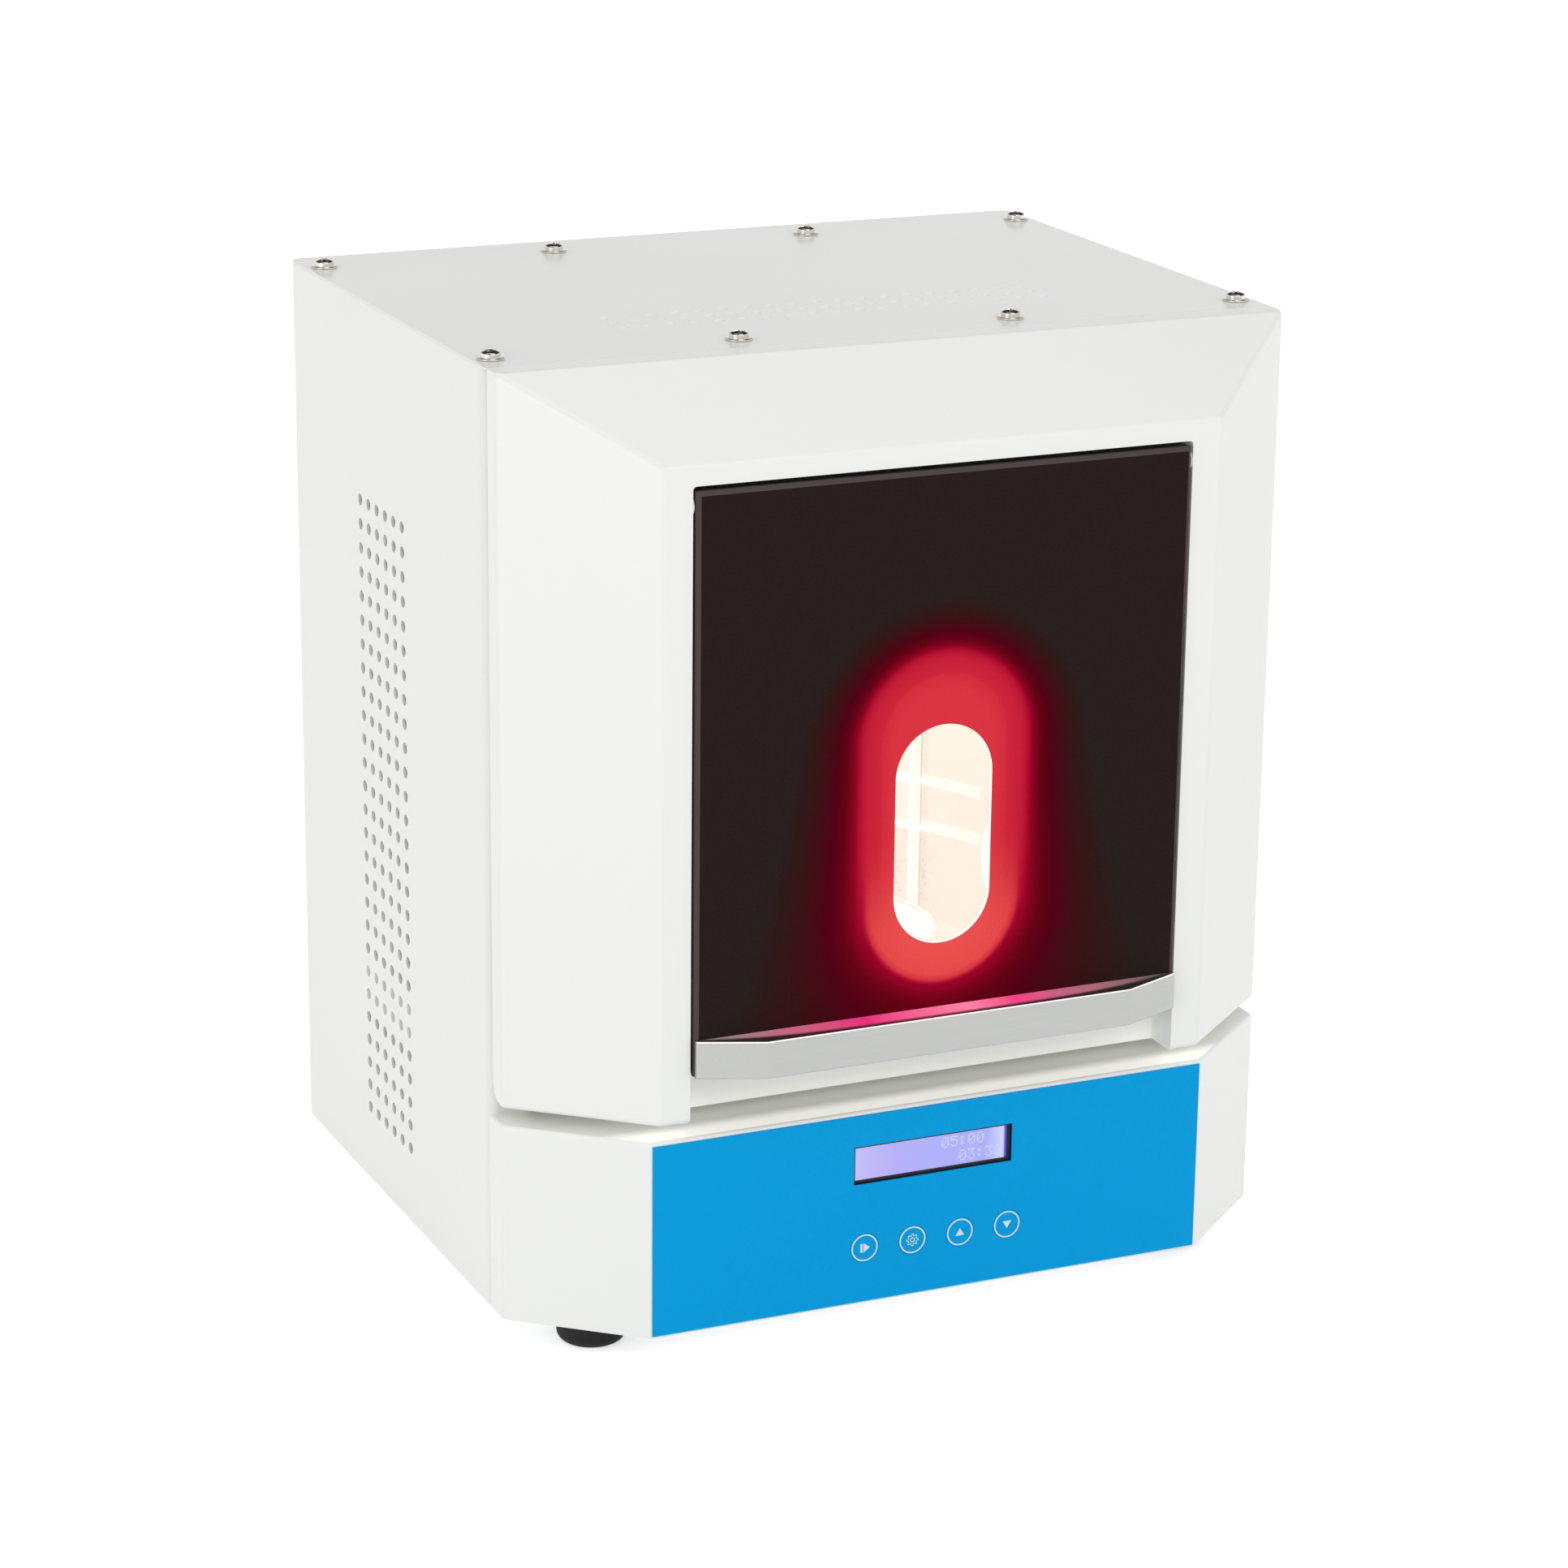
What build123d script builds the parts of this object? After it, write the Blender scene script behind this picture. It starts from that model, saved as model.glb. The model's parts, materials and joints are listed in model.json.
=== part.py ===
from build123d import *
import math
import os

# Dental lab light curing unit, in millimetres. +Z is up, the front faces -Y, +X is to the user's right
# as they face the unit. The origin is the centre of the footprint, on the bench under the feet.

# ---- cabinet ---------------------------------------------------------------------------------------
CABINET_W = 310.0
CABINET_D = 215.0          # back face to the front seam
CABINET_H = 352.0          # top cover above the base's lower edge
SHEET = 1.2                # cabinet sheet steel
BEND_R = 5.0               # casing's rear corners, outside
FRONT_BEND_R = 3.5         # casing's bends into its front flanges, outside
COVER_CLEAR = 0.1          # cover's front edge to the fascia's rim
SIDE_FLANGE = 14.0         # casing's inward flanges at the seam
TOP_FLANGE = 16.0          # casing's inward flanges under the cover, at the sides
REAR_FLANGE = 30.0         # the same, at the back
REAR_LIP_IN = 20.0         # bottom plate's rear lip, in from the cabinet's sides
REST_GAP = 0.3             # between pieces that close on each other
FIT = 0.05                 # running fit, on the radius
SNUG = 0.02                # fixed fit, on the radius

# ---- feet ------------------------------------------------------------------------------------------
FOOT_H = 12.0
FOOT_R = 13.0
FOOT_SEAT_R = 9.0         # flat ring that meets the bench
FOOT_WELL_R = 5.5          # counterbore for the screw head
FOOT_WELL = 8.0            # its depth
FOOT_SIDE = 34.0           # centre in from the cabinet's side
FOOT_AHEAD = 14.0          # front feet, ahead of the seam
FOOT_REAR = 22.0           # rear feet, in from the back

# ---- front mouldings -------------------------------------------------------------------------------
MOULD_WALL = 3.0
SEAM_GAP = 2.0             # shadow gap between fascia and cabinet
STRIP = 12.0               # straight return of both mouldings, ahead of the seam
FASCIA_PROUD = 51.0        # fascia's flat front, ahead of the seam
FASCIA_SIDE_BEVEL = 46.0   # how far the side bevels come in
FASCIA_TOP_BEVEL = 28.5    # how far the top bevel comes down
FASCIA_EDGE_R = 2.5
FASCIA_HEEL_R = 8.0        # lower rear corner of the return
HOUSING_H = 75.8
HOUSING_PROUD = 49.0
HOUSING_SIDE_BEVEL = 43.0
HOUSING_EDGE_R = 1.2
HOUSING_TOP_R = 1.1
GROOVE = 6.2               # between the housing's top and the fascia's lower edge
BOSS_R = 5.0
BOSS_IN = 7.5              # boss centre in from the cabinet's side
BOSS_L = 16.0
BOSS_FLOOR = 4.0           # left solid at the boss's front end

# ---- membrane overlay, keys and display --------------------------------------------------------------
OVERLAY_T = 0.6
OVERLAY_EDGE = 0.8         # bare margin round the overlay
KEY_R = 5.6
KEY_PITCH = 19.5
KEY_FIRST_X = -27.0
KEY_RISE = 22.1            # key centres above the base's lower edge
KEY_TRAVEL = 0.5
KEY_SLOT = 0.15            # round each key
KEY_RIM = 1.0              # retaining rim behind the wall, wider than the key
KEY_RIM_T = 1.0
KEY_STEM_R = 1.8
KEY_STEM_L = 2.0
DISPLAY_W = 64.5
DISPLAY_H = 15.0
DISPLAY_X = 0.5
DISPLAY_RISE = 54.8
DISPLAY_SET = 1.5          # bezel's face behind the overlay's face
BEZEL_W = 72.0
BEZEL_H = 24.0
BEZEL_D = 7.0
BEZEL_LINE = 1.1           # black line left between the overlay's window and the lit glass
GLASS_SET = 0.6            # lit glass behind the bezel's face
BOARD_T = 1.6
DISPLAY_BOARD_W = 80.0
DISPLAY_BOARD_H = 34.0
KEY_BOARD_H = 22.0
KEY_BOARD_MARGIN = 13.0    # board beyond the outer key centres
TACT = 6.0                 # tact switch's square body
TACT_H = 3.5
TACT_BUTTON_R = 1.7

# ---- door ------------------------------------------------------------------------------------------
FRAME_SIDE = 12.5          # fascia's flat face beside the door
FRAME_TOP = 7.7            # the same, above the door's pocket
DOOR_T = 12.5
DOOR_PROUD = 1.5           # door's face ahead of the fascia's flat front
DOOR_SIDE_GAP = 1.0
DOOR_TOP_GAP = 1.8
FINGER_GAP = 18.0          # under the door, down to the fascia's lower edge
POCKET_D = 15.0            # pocket in the fascia, behind its flat front
POCKET_R = 1.5             # pocket's upper corners
PANEL_T = 3.0
PANEL_CHAMFER = 1.5        # front face's upper and side edges
LINER_WALL = 2.5
LINER_IN = 0.3             # liner in from the panel's edge
WINDOW_W = 38.5
WINDOW_H = 82.5
WINDOW_RISE = 79.6         # window's centre above the door's lower edge
RING_W = 68.0
RING_H = 128.5
RING_RISE = 84.5
RIM_W = 4.0                # liner's rim behind the ring's edge, each way
LENS_SET = 0.4             # lens behind the door's face
LENS_LIP = 2.5             # lens flange behind the filter
LENS_LIP_T = 1.5
HINGE_DROP = 5.5           # pin axis below the door's top
HINGE_IN = 5.5             # pin axis behind the door's face
PIN_R = 2.0
PIN_L = 18.5
PIN_HOLD = 12.5            # pin's length inside the liner's corner block
HINGE_BLOCK = 10.0
BUSH_WALL = 1.0
BUSH_FLANGE = 0.8
BUSH_FLANGE_T = 0.6
BUSH_L = 5.0
HANDLE_H = 14.0
HANDLE_PROUD = 11.0
HANDLE_KNEE = 23.5         # where the ends turn in, from the door's edge
HANDLE_END = 1.5           # thickness at the ends
HANDLE_WALL = 2.2
HANDLE_TOP = 2.5
HANDLE_EDGE_R = 0.6
HANDLE_SCREW_IN = 36.5     # outer screws in from the door's edges
SEAL_W = 8.0
SEAL_OUT = 3.0             # seal beyond the chamber mouth
CATCH_IN = 11.5            # catches in from the door's edges
CATCH_RISE = 8.0           # catches above the door's lower edge
MAGNET_R = 5.0
MAGNET_T = 2.5
STRIKE_W = 14.0
STRIKE_H = 12.0
SENSOR_W = 8.0
SENSOR_H = 20.0
SENSOR_T = 6.0

# ---- curing chamber --------------------------------------------------------------------------------
SHELF_RISE = 88.0          # shelf's underside above the base's lower edge
SHELF_LIP = 14.0
MIRROR_T = 1.5             # floor and ceiling
REFLECTOR_T = 1.0
DRUM_OUT = 17.0            # drum's radius beyond half the mouth's width
DRUM_BACK = 52.0           # drum axis behind the seam
CHAMBER_H = 205.0
MOUTH_IN = 31.5            # chamber mouth in from the door's edges
MOUTH_H = 176.0
MOUTH_SILL = 16.0          # mouth's lower edge above the door's
PLATE_OUT = 6.0            # floor and ceiling beyond the drum
BAR_ANGLES = (-52.0, 0.0, 52.0)
BAR_W = 4.4
BAR_T = 1.6
BAR_OFF = 2.0              # bars stand off the drum, over the hoops
LED_W = 2.4
LED_T = 1.0
LEDS_PER_BAR = 12
BAR_COVER_T = 0.8          # opal cover over each bar's emitters
BAR_COVER_RISE = 2.4       # its crown above the bar's face
HOOP_RISES = (128.0, 147.0)
HOOP_H = 4.0
HOOP_T = 1.4
HOOP_STOP = 1.2            # degrees from the hoops' ends to the side lamps
LAMP_ANGLE = 89.0
LAMP_R = 21.0
LAMP_RISE = 125.0
LAMP_L = 22.0
LAMP_LENS_T = 2.0
SINK_W = 34.0
SINK_D = 16.0
SINK_H = 150.0
SINK_BASE = 4.0
FIN_T = 1.6
FIN_COUNT = 6
TOP_BOARD_R = 30.0
TOP_OPENING_R = 26.0
TOP_RING_R = 15.0          # ring of emitters round the middle one
TOP_RING_COUNT = 6
TOP_LED_R = 3.5
TOP_SINK_H = 26.0
TOP_FIN_COUNT = 9

# ---- turntable and its drive -------------------------------------------------------------------------
TABLE_R = 43.0
TABLE_T = 3.0
TABLE_RISE = 112.0         # top of the turntable above the base's lower edge
TABLE_LIP = 1.2            # raised edge
HUB_R = 9.0
HUB_CLEAR = 5.0            # hub above the chamber floor
SHAFT_R = 3.0
SHAFT_IN_HUB = 8.0
SHAFT_IN_MOTOR = 22.0
SHAFT_HOLE_R = 6.0
MOTOR_R = 21.0
MOTOR_H = 34.0
MOTOR_EAR_W = 58.0
MOTOR_EAR_H = 12.0
MOTOR_EAR_T = 2.0
MOTOR_HOLE_IN = 5.0        # screw holes in from the ears' ends

# ---- electrics ---------------------------------------------------------------------------------------
SUPPLY_W = 160.0
SUPPLY_D = 98.0
SUPPLY_H = 38.0
LEDGE_D = 16.0             # terminal ledge at the supply's left end
LEDGE_H = 18.0
SUPPLY_CLEAR = 4.0         # behind the cards
CARD_W = 86.0
CARD_D = 62.0
CARD_IN = 63.0             # card centres in from the cabinet's sides
CARD_BACK = 40.0           # card centres behind the seam
STANDOFF_R = 2.75
STANDOFF_H = 6.0
STANDOFF_FLOOR = 1.0       # left solid under each card screw
CARD_HOLE_IN = 5.0
POST_R = 1.75              # posts behind the housing's front wall
POST_IN = 3.0              # their centres in from the boards' edges
CHIP_T = 2.4
RIBBON_W = 26.0
RIBBON_T = 0.8
RIBBON_UP = 8.0            # soldered length on the key board
RIBBON_ON = 2.0            # length that lies on the control card

# ---- rear panel, fan, inlet and switch ---------------------------------------------------------------
PANEL_OPEN_W = 220.0       # opening in the casing's back
PANEL_OPEN_H = 250.0
PANEL_SILL = 26.0          # opening's lower edge above the base's lower edge
PANEL_LAP = 12.0           # service panel over the casing, all round
FAN_SIZE = 80.0
FAN_T = 25.0
FAN_RISE = 200.0
FAN_BORE_R = 38.0
FAN_TIP_GAP = 1.0
FAN_PITCH = 71.5           # fixing holes
FAN_HUB_R = 16.0
FAN_CORNER_R = 4.0
FAN_AXLE_R = 1.5
BLADE_COUNT = 7
BLADE_T = 1.4
BLADE_TWIST = 35.0
BLADE_FILL = 0.8           # blades' depth as a share of the rotor's
BLADE_ROOT = 2.0           # blades' length inside the hub
ROTOR_SET = 2.0            # rotor's outer face inside the panel
STRUT_T = 3.0
GUARD_WIRE_R = 0.8
GUARD_RINGS = (12.0, 20.0, 28.0, 36.0)
INLET_X = 70.0
INLET_RISE = 62.0
INLET_W = 28.0
INLET_H = 44.0
INLET_D = 26.0
INLET_FLANGE = 4.0
INLET_FLANGE_T = 2.0
SOCKET_W = 24.4
SOCKET_H = 16.6
SOCKET_D = 18.0
SOCKET_CHAMFER = 5.0       # socket's two upper corners
SOCKET_UP = -9.0           # socket's centre from the inlet's
CONTACT_W = 2.0
CONTACT_H = 4.0
CONTACT_L = 12.0
CONTACT_PITCH = 7.0
CONTACT_OFF = 2.0          # earth contact above the socket's middle, the others below it
DRAWER_W = 20.0
DRAWER_H = 12.0
DRAWER_D = 20.0
DRAWER_UP = 12.0
DRAWER_GAP = 0.2
DRAWER_LIP = 1.2
SWITCH_X = 30.0
SWITCH_W = 21.0
SWITCH_H = 30.0
SWITCH_D = 18.0
SWITCH_WALL = 2.0
ROCKER_REACH = 12.0        # pin axis to the ends of the rocker's face
ROCKER_HALF = 9.0
ROCKER_W = 13.0
ROCKER_TILT = 8.0          # each way from level
ROCKER_PIN_R = 1.5
ROCKER_PIN_L = 1.4         # beyond each cheek
ROCKER_PROUD = 1.0

# ---- screws ------------------------------------------------------------------------------------------
M3_R = 1.5
M3_HEAD_R = 2.75
M3_HEAD_H = 2.0
M4_R = 2.0
M4_HEAD_R = 3.6
M4_HEAD_H = 2.6
M4_L = 9.0
WASHER_R = 5.0
WASHER_T = 0.8
NUT_R = 4.0                # across corners, halved
NUT_T = 3.2
SCREW_TAIL = 1.0           # screw's end past its nut
RECESS_W = 0.9
COVER_SIDE_IN = 7.0        # cover screws in from the side
COVER_MID_X = 54.0
COVER_FRONT_IN = 11.0      # behind the seam
COVER_REAR_IN = 22.0       # in from the back
RAIL_W = 20.0
RAIL_DROP = 16.0

# ---- vents -------------------------------------------------------------------------------------------
VENT_R = 2.25
VENT_PITCH = 9.4
SIDE_VENT_COLS = 6
SIDE_VENT_ROWS = 27
SIDE_VENT_BACK = 111.0     # centre of the side grid behind the seam
SIDE_VENT_RISE = 152.5     # its centre above the base's lower edge
TOP_VENT_COLS = 19
TOP_VENT_ROWS = 3
TOP_VENT_BACK = 55.0

# ---- places that follow ------------------------------------------------------------------------------
SCREW_STAND = GUARD_WIRE_R * 2 + M4_HEAD_H
FRONT_REACH = FASCIA_PROUD + DOOR_PROUD + HANDLE_PROUD
REAR_REACH = CABINET_D + SHEET + SCREW_STAND
SEAM = (FRONT_REACH - REAR_REACH) / 2
BACK = SEAM + CABINET_D
HALF_W = CABINET_W / 2
BASE = FOOT_H
TOP = BASE + CABINET_H
DECK = BASE + SHEET                                   # top of the bottom plate
FASCIA_LOW = BASE + HOUSING_H + GROOVE
FRONT = SEAM - FASCIA_PROUD
HOUSING_FRONT = SEAM - HOUSING_PROUD
DOOR_FACE = FRONT - DOOR_PROUD
DOOR_BACK = DOOR_FACE + DOOR_T
DOOR_W = CABINET_W - 2 * (FASCIA_SIDE_BEVEL + FRAME_SIDE)
DOOR_LOW = FASCIA_LOW + FINGER_GAP
DOOR_HIGH = TOP - FASCIA_TOP_BEVEL - FRAME_TOP - DOOR_TOP_GAP
POCKET_BACK = FRONT + POCKET_D
POCKET_HALF = DOOR_W / 2 + DOOR_SIDE_GAP
CATCH_X = DOOR_W / 2 - CATCH_IN
MOUTH_W = DOOR_W - 2 * MOUTH_IN
DRUM_R = MOUTH_W / 2 + DRUM_OUT
HOOP_SPAN = LAMP_ANGLE - math.degrees(math.asin(LAMP_R / DRUM_R)) - HOOP_STOP     # each side of the back
POCKET_HIGH = DOOR_HIGH + DOOR_TOP_GAP
CHAMBER_FRONT = POCKET_BACK + MOULD_WALL
HINGE_Y = DOOR_FACE + HINGE_IN
HINGE_Z = DOOR_HIGH - HINGE_DROP
MOUTH_LOW = DOOR_LOW + MOUTH_SILL
MOUTH_HIGH = MOUTH_LOW + MOUTH_H
AXIS_Y = SEAM + DRUM_BACK
SHELF_TOP = BASE + SHELF_RISE + SHEET
FLOOR = SHELF_TOP + MIRROR_T
CEILING = FLOOR + CHAMBER_H
TABLE_TOP = BASE + TABLE_RISE
SEAL_T = POCKET_BACK - DOOR_BACK - REST_GAP
KEY_X = [KEY_FIRST_X + KEY_PITCH * i for i in range(4)]
KEY_Z = BASE + KEY_RISE
DISPLAY_Z = BASE + DISPLAY_RISE
OVERLAY_FACE = HOUSING_FRONT - OVERLAY_T
WALL_BACK = HOUSING_FRONT + MOULD_WALL                # inside of the housing's front wall
INNER_HALF = HALF_W - SHEET
PANEL_FACE = BACK + SHEET                             # outside of the service panel
FAN_Z = BASE + FAN_RISE
INLET_Z = BASE + INLET_RISE
PANEL_LOW = BASE + PANEL_SILL
PANEL_MID_Z = PANEL_LOW + PANEL_OPEN_H / 2


# ---- small helpers -----------------------------------------------------------------------------------
def block(x0, x1, y0, y1, z0, z1):
    """Box between two corners."""
    return Pos((x0 + x1) / 2, (y0 + y1) / 2, (z0 + z1) / 2) * Box(x1 - x0, y1 - y0, z1 - z0)


def upright(x, y, z0, z1, radius):
    """Cylinder along Z, from z0 to z1."""
    return Pos(x, y, (z0 + z1) / 2) * Cylinder(radius, z1 - z0)


def along_y(x, y0, y1, z, radius):
    """Cylinder along Y, from y0 to y1."""
    return Pos(x, (y0 + y1) / 2, z) * Rot(X=90) * Cylinder(radius, y1 - y0)


def along_x(x0, x1, y, z, radius):
    """Cylinder along X, from x0 to x1."""
    return Pos((x0 + x1) / 2, y, z) * Rot(Y=90) * Cylinder(radius, x1 - x0)


def slab_y(outline, y0, y1):
    """Outline drawn in X and Z, carried from y0 to y1."""
    return Pos(0, y1, 0) * extrude(Plane.XZ * outline, amount=y1 - y0)


def slab_z(outline, z0, z1):
    """Outline drawn in X and Y, carried from z0 to z1."""
    return Pos(0, 0, z0) * extrude(outline, amount=z1 - z0)


def stadium(width, height, x, z):
    """Upright stadium, drawn flat and centred on x, z."""
    return Pos(x, z) * Rot(Z=90) * SlotOverall(height, width)


def frame_outline(half_w, low, high, border):
    """Rectangular frame of the given border outside half_w, low and high, drawn flat."""
    middle = (low + high) / 2
    outer = Pos(0, middle) * Rectangle(2 * (half_w + border), high - low + 2 * border)
    return outer - Pos(0, middle) * Rectangle(2 * half_w, high - low)


def screw(radius, head_r, head_h, length):
    """Pan-head screw with a cross recess: head above z = 0, shank below."""
    head = Cylinder(head_r, head_h, align=(Align.CENTER, Align.CENTER, Align.MIN))
    head = fillet(head.edges().sort_by(Axis.Z)[-1], head_h * 0.6)
    shank = Cylinder(radius, length, align=(Align.CENTER, Align.CENTER, Align.MAX))
    arm = Pos(0, 0, head_h) * Box(head_r * 1.1, RECESS_W, head_h)
    return head + shank - arm - Rot(Z=90) * arm


def m4_screws(places, turn=Rot(), length=M4_L):
    """M4 screws with the undersides of their heads at the given points."""
    one = turn * screw(M4_R, M4_HEAD_R, M4_HEAD_H, length)
    return [Pos(*place) * one for place in places]


def m3_screws(places, turn=Rot(), length=M4_L):
    """M3 screws, placed the same way."""
    one = turn * screw(M3_R, M3_HEAD_R, M3_HEAD_H, length)
    return [Pos(*place) * one for place in places]


HEAD_REAR = Rot(X=-90)      # turns a screw's head to +Y
HEAD_DOWN = Rot(X=180)      # to -Z


def save(name, *solids):
    """Writes the solids as one node."""
    shape = solids[0] if len(solids) == 1 else Compound(list(solids))
    export_step(shape, "parts/" + name + ".step")


# ---- casing, cover and plates --------------------------------------------------------------------------
def cover_screw_places():
    """Eight places: four across the front of the cover and four across its rear."""
    xs = (-HALF_W + COVER_SIDE_IN, -COVER_MID_X, COVER_MID_X, HALF_W - COVER_SIDE_IN)
    ys = (SEAM + COVER_FRONT_IN, BACK - COVER_REAR_IN)
    return [(x, y) for y in ys for x in xs]


def foot_places():
    x = HALF_W - FOOT_SIDE
    return [(sx * x, y) for y in (SEAM - FOOT_AHEAD, BACK - FOOT_REAR) for sx in (-1, 1)]


def boss_places():
    """Fixing bosses of the fascia: x and z."""
    x = HALF_W - BOSS_IN
    lift = BOSS_R + FASCIA_HEEL_R
    low, high = FASCIA_LOW + lift, TOP - lift - TOP_FLANGE / 2
    return [(sx * x, z) for z in (low, (low + high) / 2, high) for sx in (-1, 1)]


def housing_boss_places():
    """Fixing bosses of the control housing: x and z."""
    x = HALF_W - BOSS_IN
    return [(sx * x, BASE + HOUSING_H / 2) for sx in (-1, 1)]


def plan_box(half_w, front, back, front_r, rear_r):
    """Plan of the casing or its inside, with rounded corners."""
    outline = Pos(0, (front + back) / 2) * Rectangle(2 * half_w, back - front)
    outline = fillet(outline.vertices().group_by(Axis.Y)[-1], rear_r)
    return fillet(outline.vertices().group_by(Axis.Y)[0], front_r) if front_r else outline


def vent_patch():
    """Piece of side wall with the side vent grid, drawn in Y and Z round the grid's centre."""
    grid = GridLocations(VENT_PITCH, VENT_PITCH, SIDE_VENT_COLS, SIDE_VENT_ROWS)
    patch = Rectangle(VENT_PITCH * SIDE_VENT_COLS, VENT_PITCH * SIDE_VENT_ROWS)
    return patch - [place * Circle(VENT_R) for place in grid.locations]


def casing():
    """Left side, back and right side in one bent sheet, with flanges for the cover and the mouldings."""
    high = TOP - SHEET
    inner_r = (FRONT_BEND_R - SHEET, BEND_R - SHEET)
    outer = slab_z(plan_box(HALF_W, SEAM, BACK, FRONT_BEND_R, BEND_R), BASE, high)
    room = slab_z(plan_box(INNER_HALF, SEAM + SHEET, BACK - SHEET, *inner_r), BASE, high)
    shell = outer - room
    flange = room & block(-HALF_W, HALF_W, SEAM, BACK, high - SHEET, high)
    open_half = INNER_HALF - TOP_FLANGE
    shell += flange - block(-open_half, open_half, SEAM - 1, BACK - REAR_FLANGE, BASE, TOP)
    open_half = INNER_HALF - SIDE_FLANGE
    shell -= block(-open_half, open_half, SEAM - 1, SEAM + 2 * SHEET, BASE - 1, TOP)
    shell -= block(-INNER_HALF, INNER_HALF, SEAM - 1, SEAM + FRONT_BEND_R, BASE - 1, DECK)
    cuts = [upright(x, y, high - 2 * SHEET, TOP, M4_R) for x, y in cover_screw_places()]
    cuts += [along_y(x, SEAM - 1, SEAM + 2 * SHEET, z, M4_R) for x, z in boss_places()]
    cuts += [along_y(x, SEAM - 1, SEAM + 2 * SHEET, z, M4_R) for x, z in housing_boss_places()]
    cuts += [along_y(x, BACK - 2 * SHEET, BACK + 1, z, M4_R) for x, z in panel_screw_places()]
    half_open, open_top = PANEL_OPEN_W / 2, PANEL_LOW + PANEL_OPEN_H
    cuts.append(block(-half_open, half_open, BACK - 2 * SHEET, BACK + 1, PANEL_LOW, open_top))
    y, z = SEAM + SIDE_VENT_BACK, BASE + SIDE_VENT_RISE
    half_d, half_h = VENT_PITCH * SIDE_VENT_COLS / 2, VENT_PITCH * SIDE_VENT_ROWS / 2
    cuts.append(block(-HALF_W, HALF_W, y - half_d, y + half_d, z - half_h, z + half_h))
    patch = extrude(Plane.YZ * vent_patch(), amount=SHEET)
    return shell - cuts + [Pos(x, y, z) * patch for x in (-HALF_W, INNER_HALF)]


def top_cover():
    """Flat cover sheet that lies over the casing's edges and the seam, with a vent grid near the front."""
    outline = plan_box(HALF_W, SEAM - SEAM_GAP + COVER_CLEAR, BACK, 0, BEND_R)
    grid = GridLocations(VENT_PITCH, VENT_PITCH, TOP_VENT_COLS, TOP_VENT_ROWS)
    centre = Pos(0, SEAM + TOP_VENT_BACK)
    outline -= [centre * place * Circle(VENT_R) for place in grid.locations]
    outline -= [Pos(x, y) * Circle(M4_R) for x, y in cover_screw_places()]
    return slab_z(outline, TOP - SHEET, TOP)


def top_rail():
    """Angle across the cabinet under the cover's front edge."""
    high = TOP - 2 * SHEET
    half = INNER_HALF - FRONT_BEND_R + SHEET
    rail = block(-half, half, SEAM + SHEET, SEAM + SHEET + RAIL_W, high - SHEET, high)
    rail += block(-half, half, SEAM + SHEET, SEAM + 2 * SHEET, high - RAIL_DROP, high)
    cuts = [upright(x, y, high - 2 * SHEET, high + 1, M4_R) for x, y in cover_screw_places()]
    cuts += [along_y(x, SEAM, SEAM + 4 * SHEET, z, M4_HEAD_R + 1) for x, z in boss_places()]
    return rail - cuts


def bottom_plan():
    """Plan of the bottom plate: the cabinet's inside and the housing's."""
    inside = Pos(0, SEAM + (CABINET_D - SHEET) / 2) * Rectangle(2 * INNER_HALF, CABINET_D - SHEET)
    ahead = moulding_plan(HOUSING_PROUD, HOUSING_SIDE_BEVEL, SEAM + 2 * MOULD_WALL)
    return inside + offset(ahead, -MOULD_WALL, kind=Kind.INTERSECTION)


def bottom_plate():
    """Floor of the cabinet with an upturned lip along each side and the back."""
    plate = slab_z(bottom_plan(), BASE, DECK)
    lip_h = DECK + SIDE_FLANGE
    for side in (-1, 1):
        x0, x1 = sorted((side * INNER_HALF, side * (INNER_HALF - SHEET)))
        plate += block(x0, x1, SEAM + FRONT_BEND_R, BACK - BEND_R - SHEET, BASE, lip_h)
    rear_half = HALF_W - REAR_LIP_IN
    plate += block(-rear_half, rear_half, BACK - 2 * SHEET, BACK - SHEET, BASE, lip_h)
    corners = [
        block(s * HALF_W - BEND_R, s * HALF_W + BEND_R, BACK - BEND_R, BACK, BASE, DECK) for s in (-1, 1)
    ]
    plate -= corners
    return plate - [upright(x, y, BASE - 1, DECK + 1, M4_R) for x, y in foot_places()]


def shelf():
    """Equipment shelf across the cabinet, with its lips turned down along the sides."""
    y0, y1 = SEAM + FRONT_BEND_R, BACK - BEND_R - SHEET
    low = BASE + SHELF_RISE
    plate = block(-INNER_HALF, INNER_HALF, y0, y1, low, SHELF_TOP)
    for side in (-1, 1):
        x0, x1 = sorted((side * INNER_HALF, side * (INNER_HALF - SHEET)))
        plate += block(x0, x1, y0, y1, low - SHELF_LIP, low)
    tongue = block(-POCKET_HALF, POCKET_HALF, CHAMBER_FRONT, y0, low, SHELF_TOP)
    plate += tongue
    cuts = [upright(0, AXIS_Y, low - 1, SHELF_TOP + 1, SHAFT_HOLE_R)]
    cuts += [upright(x, AXIS_Y, low - 1, SHELF_TOP + 1, M3_R) for x in motor_screw_xs()]
    return plate - cuts


def feet():
    """Moulded rubber foot with a rounded lower edge and a well for its screw."""
    made = []
    for x, y in foot_places():
        foot = upright(x, y, 0, BASE, FOOT_R)
        foot = fillet(foot.edges().group_by(Axis.Z)[0], FOOT_R - FOOT_SEAT_R)
        foot -= upright(x, y, -1, FOOT_WELL, FOOT_WELL_R)
        made.append(foot - upright(x, y, 0, BASE + 1, M4_R))
    return made


# ---- front mouldings ---------------------------------------------------------------------------------
def moulding_plan(proud, bevel, rear):
    """Plan outline shared by fascia and housing: straight returns, two bevels and a flat front."""
    half = [(HALF_W, rear), (HALF_W, SEAM - STRIP), (HALF_W - bevel, SEAM - proud)]
    points = half + [(-x, y) for x, y in reversed(half)]
    return make_face(Polyline(*points, close=True))


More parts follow.
